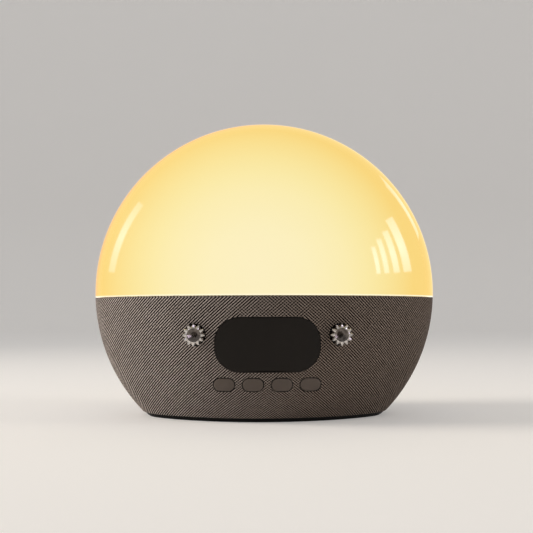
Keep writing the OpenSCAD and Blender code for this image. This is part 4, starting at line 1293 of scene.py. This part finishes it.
@dataclass
class Studio:
    """A plain pale cove, soft lamps and the camera."""

    camera_at: tuple[float, float, float] = (-12.2, -468.5, 60.3)
    yaw_deg: float = 1.61
    pitch_deg: float = 3.55
    roll_deg: float = 0.12
    lens_px: float = 765.7
    frame_px: float = 533.0
    light: float = 0.5
    pallor: float = 0.3
    beam_deg: float = 50.0
    aim_height: float = 90.0
    gleam: str = "#EADFFF"
    paint: str = "#E4E2E0"
    sky: str = "#F4F2F0"

    def build(self) -> None:
        """Makes the cove, the world, the lamps and the camera."""
        self.cove()
        self.world()
        self.lamps()
        self.camera()

    def cove(self) -> None:
        """Makes a round floor that curves up into a low wall: a quarter round between two straights."""
        middle_r, floor_r, curve, wall, columns = 400.0, 2200.0, 500.0, 1700.0, 96
        turn = np.linspace(0, math.pi / 2, 10)
        radius = np.concatenate([[0.0, middle_r], floor_r + curve * np.sin(turn), [floor_r + curve]])
        height = np.concatenate([[0.0, 0.0], curve * (1 - np.cos(turn)), [wall]])
        angle = np.linspace(0, TURN, columns, endpoint=False)
        rings = np.stack([np.outer(radius, np.cos(angle)), np.outer(radius, np.sin(angle)),
                          np.outer(height, np.ones(columns))], axis=-1)
        mesh = bpy.data.meshes.new("studio_cove")
        faces = Loft(rings).quads()
        mesh.from_pydata((rings.reshape(-1, 3) * MM).tolist(), [], faces[:, ::-1].tolist())
        mesh.shade_smooth()
        mesh.materials.append(self.cove_material())
        cove = bpy.data.objects.new("studio_cove", mesh)
        bpy.context.scene.collection.objects.link(cove)

    def cove_material(self) -> Material:
        """Plain pale paint that is seen as pale as it is painted, under lamps that stay low.

        The paint also glows a little, but only for the camera and for what metal and glass show, so
        that no light is added to the clock and its shadow stays.

        Returns:
            The material.
        """
        material = bpy.data.materials.new("pale_paint")
        material.use_nodes = True
        tree = material.node_tree
        shader = tree.nodes["Principled BSDF"]
        rays = add_node(tree, "LightPath")
        mirrored = add_node(tree, "Math", {
            0: rays.outputs["Is Glossy Ray"], 1: rays.outputs["Is Transmission Ray"]}, operation="MAXIMUM")
        seen = add_node(tree, "Math", {
            0: rays.outputs["Is Camera Ray"], 1: mirrored.outputs["Value"]}, operation="MAXIMUM")
        glow = add_node(tree, "Math", {
            0: seen.outputs["Value"], 1: self.pallor}, operation="MULTIPLY")
        for entry in ("Base Color", "Emission Color"):
            shader.inputs[entry].default_value = linear(self.paint)
        shader.inputs["Roughness"].default_value = 0.9
        shader.inputs["Specular IOR Level"].default_value = 0.1
        tree.links.new(glow.outputs["Value"], shader.inputs["Emission Strength"])
        return material

    def world(self) -> None:
        """Sets a plain pale world."""
        world = bpy.data.worlds.new("studio_world")
        bpy.context.scene.world = world
        world.use_nodes = True
        background = world.node_tree.nodes["Background"]
        background.inputs["Color"].default_value = linear(self.sky)
        background.inputs["Strength"].default_value = self.light

    def lamp(self, name: str, heading_deg: float, rise_deg: float, distance: float,
             size: tuple[float, float], watts: float, colour: str = "#FFF6EA", shown: bool = True) -> None:
        """Adds one soft lamp that faces the clock, in a beam that leaves out the floor under the lamp.

        Args:
            name: the lamp's name.
            heading_deg: its direction from the front, going to the right.
            rise_deg: its height above the horizon.
            distance: its distance in millimetres.
            size: its width and height in millimetres.
            watts: its power.
            colour: its hex colour.
            shown: whether gloss mirrors the lamp, or else it only lights what is dull.
        """
        data = bpy.data.lights.new(name, "AREA")
        data.shape = "RECTANGLE"
        data.size, data.size_y = (edge * MM for edge in size)
        data.spread = math.radians(self.beam_deg)
        data.energy = watts
        data.color = linear(colour)[:3]
        lamp = bpy.data.objects.new(name, data)
        heading, rise = math.radians(heading_deg), math.radians(rise_deg)
        lamp.location = (math.sin(heading) * math.cos(rise) * distance * MM,
                         -math.cos(heading) * math.cos(rise) * distance * MM,
                         (self.aim_height + math.sin(rise) * distance) * MM)
        lamp.rotation_euler = (math.pi / 2 - rise, 0.0, heading)
        lamp.visible_glossy = shown
        lamp.visible_diffuse = not shown
        bpy.context.scene.collection.objects.link(lamp)

    def lamps(self) -> None:
        """Places the lamps.

        Two soft fills light what is dull. Gloss mirrors a tall strip on the left, and on the right a
        window of four panes and a strip behind it. Their light is a little cool, so that on the amber
        dome it reads as white.
        """
        far, near = 2400, 1500
        sill_deg, watts_per_mm2 = 8, 1.35e-6
        self.lamp("soft_left", -90, 20, far, (800, 600), 3.9, shown=False)
        self.lamp("soft_right", 80, 16, far, (600, 500), 0.95, shown=False)
        self.lamp("strip_left", -97, 22, near, (150, 760), 0.11, self.gleam)
        panes = ((67.5, 75, 330), (73.5, 95, 410), (81, 125, 480), (90, 180, 590))
        for pane, (heading, wide, tall) in enumerate(panes):
            rise = sill_deg + math.degrees(math.atan2(tall / 2, near))
            watts = wide * tall * watts_per_mm2
            self.lamp(f"window_pane_{pane}", heading, rise, near, (wide, tall), watts, self.gleam)
        self.lamp("rim_right", 120, 28, near, (360, 560), 0.12, self.gleam)

    def camera(self) -> None:
        """Sets the camera, whose lens is its distance in image widths times the sensor's width."""
        data = bpy.data.cameras.new("camera")
        data.sensor_width = 36.0
        data.lens = data.sensor_width * self.lens_px / self.frame_px
        camera = bpy.data.objects.new("camera", data)
        camera.location = tuple(part * MM for part in self.camera_at)
        camera.rotation_mode = "XYZ"
        camera.rotation_euler = (math.pi / 2 + math.radians(self.pitch_deg), math.radians(self.roll_deg),
                                 -math.radians(self.yaw_deg))  # a positive roll leans to the right
        bpy.context.scene.collection.objects.link(camera)
        bpy.context.scene.camera = camera


def main() -> None:
    """Builds the clock's pieces in order, dresses the rest, and sets the studio."""
    logging.basicConfig(level=logging.INFO, format="%(message)s")
    bpy.context.scene.view_settings.view_transform = "Standard"
    Studio().build()
    form = Pebble()
    controls = Controls()
    builders = [LightDome(form), WovenSleeve(form, controls), DisplayWindow(form, controls.window())]
    builders += [ButtonCap(form, controls.button(k), k) for k in range(1, 5)]
    builders += [CrownKnob(side) for side in ("left", "right")]
    for builder in builders:
        piece = builder.build()
        LOG.info("%s: %d faces", piece.name, len(piece.data.polygons))
    replaced = {"dome_diffuser", "fabric_cover", "display_window", "left_knob", "right_knob",
                *(f"button_{k}" for k in range(1, 5))}
    LOG.info("%d pieces of the frame dressed", FrameFinishes(replaced).dress())


if __name__ == "__main__":
    main()
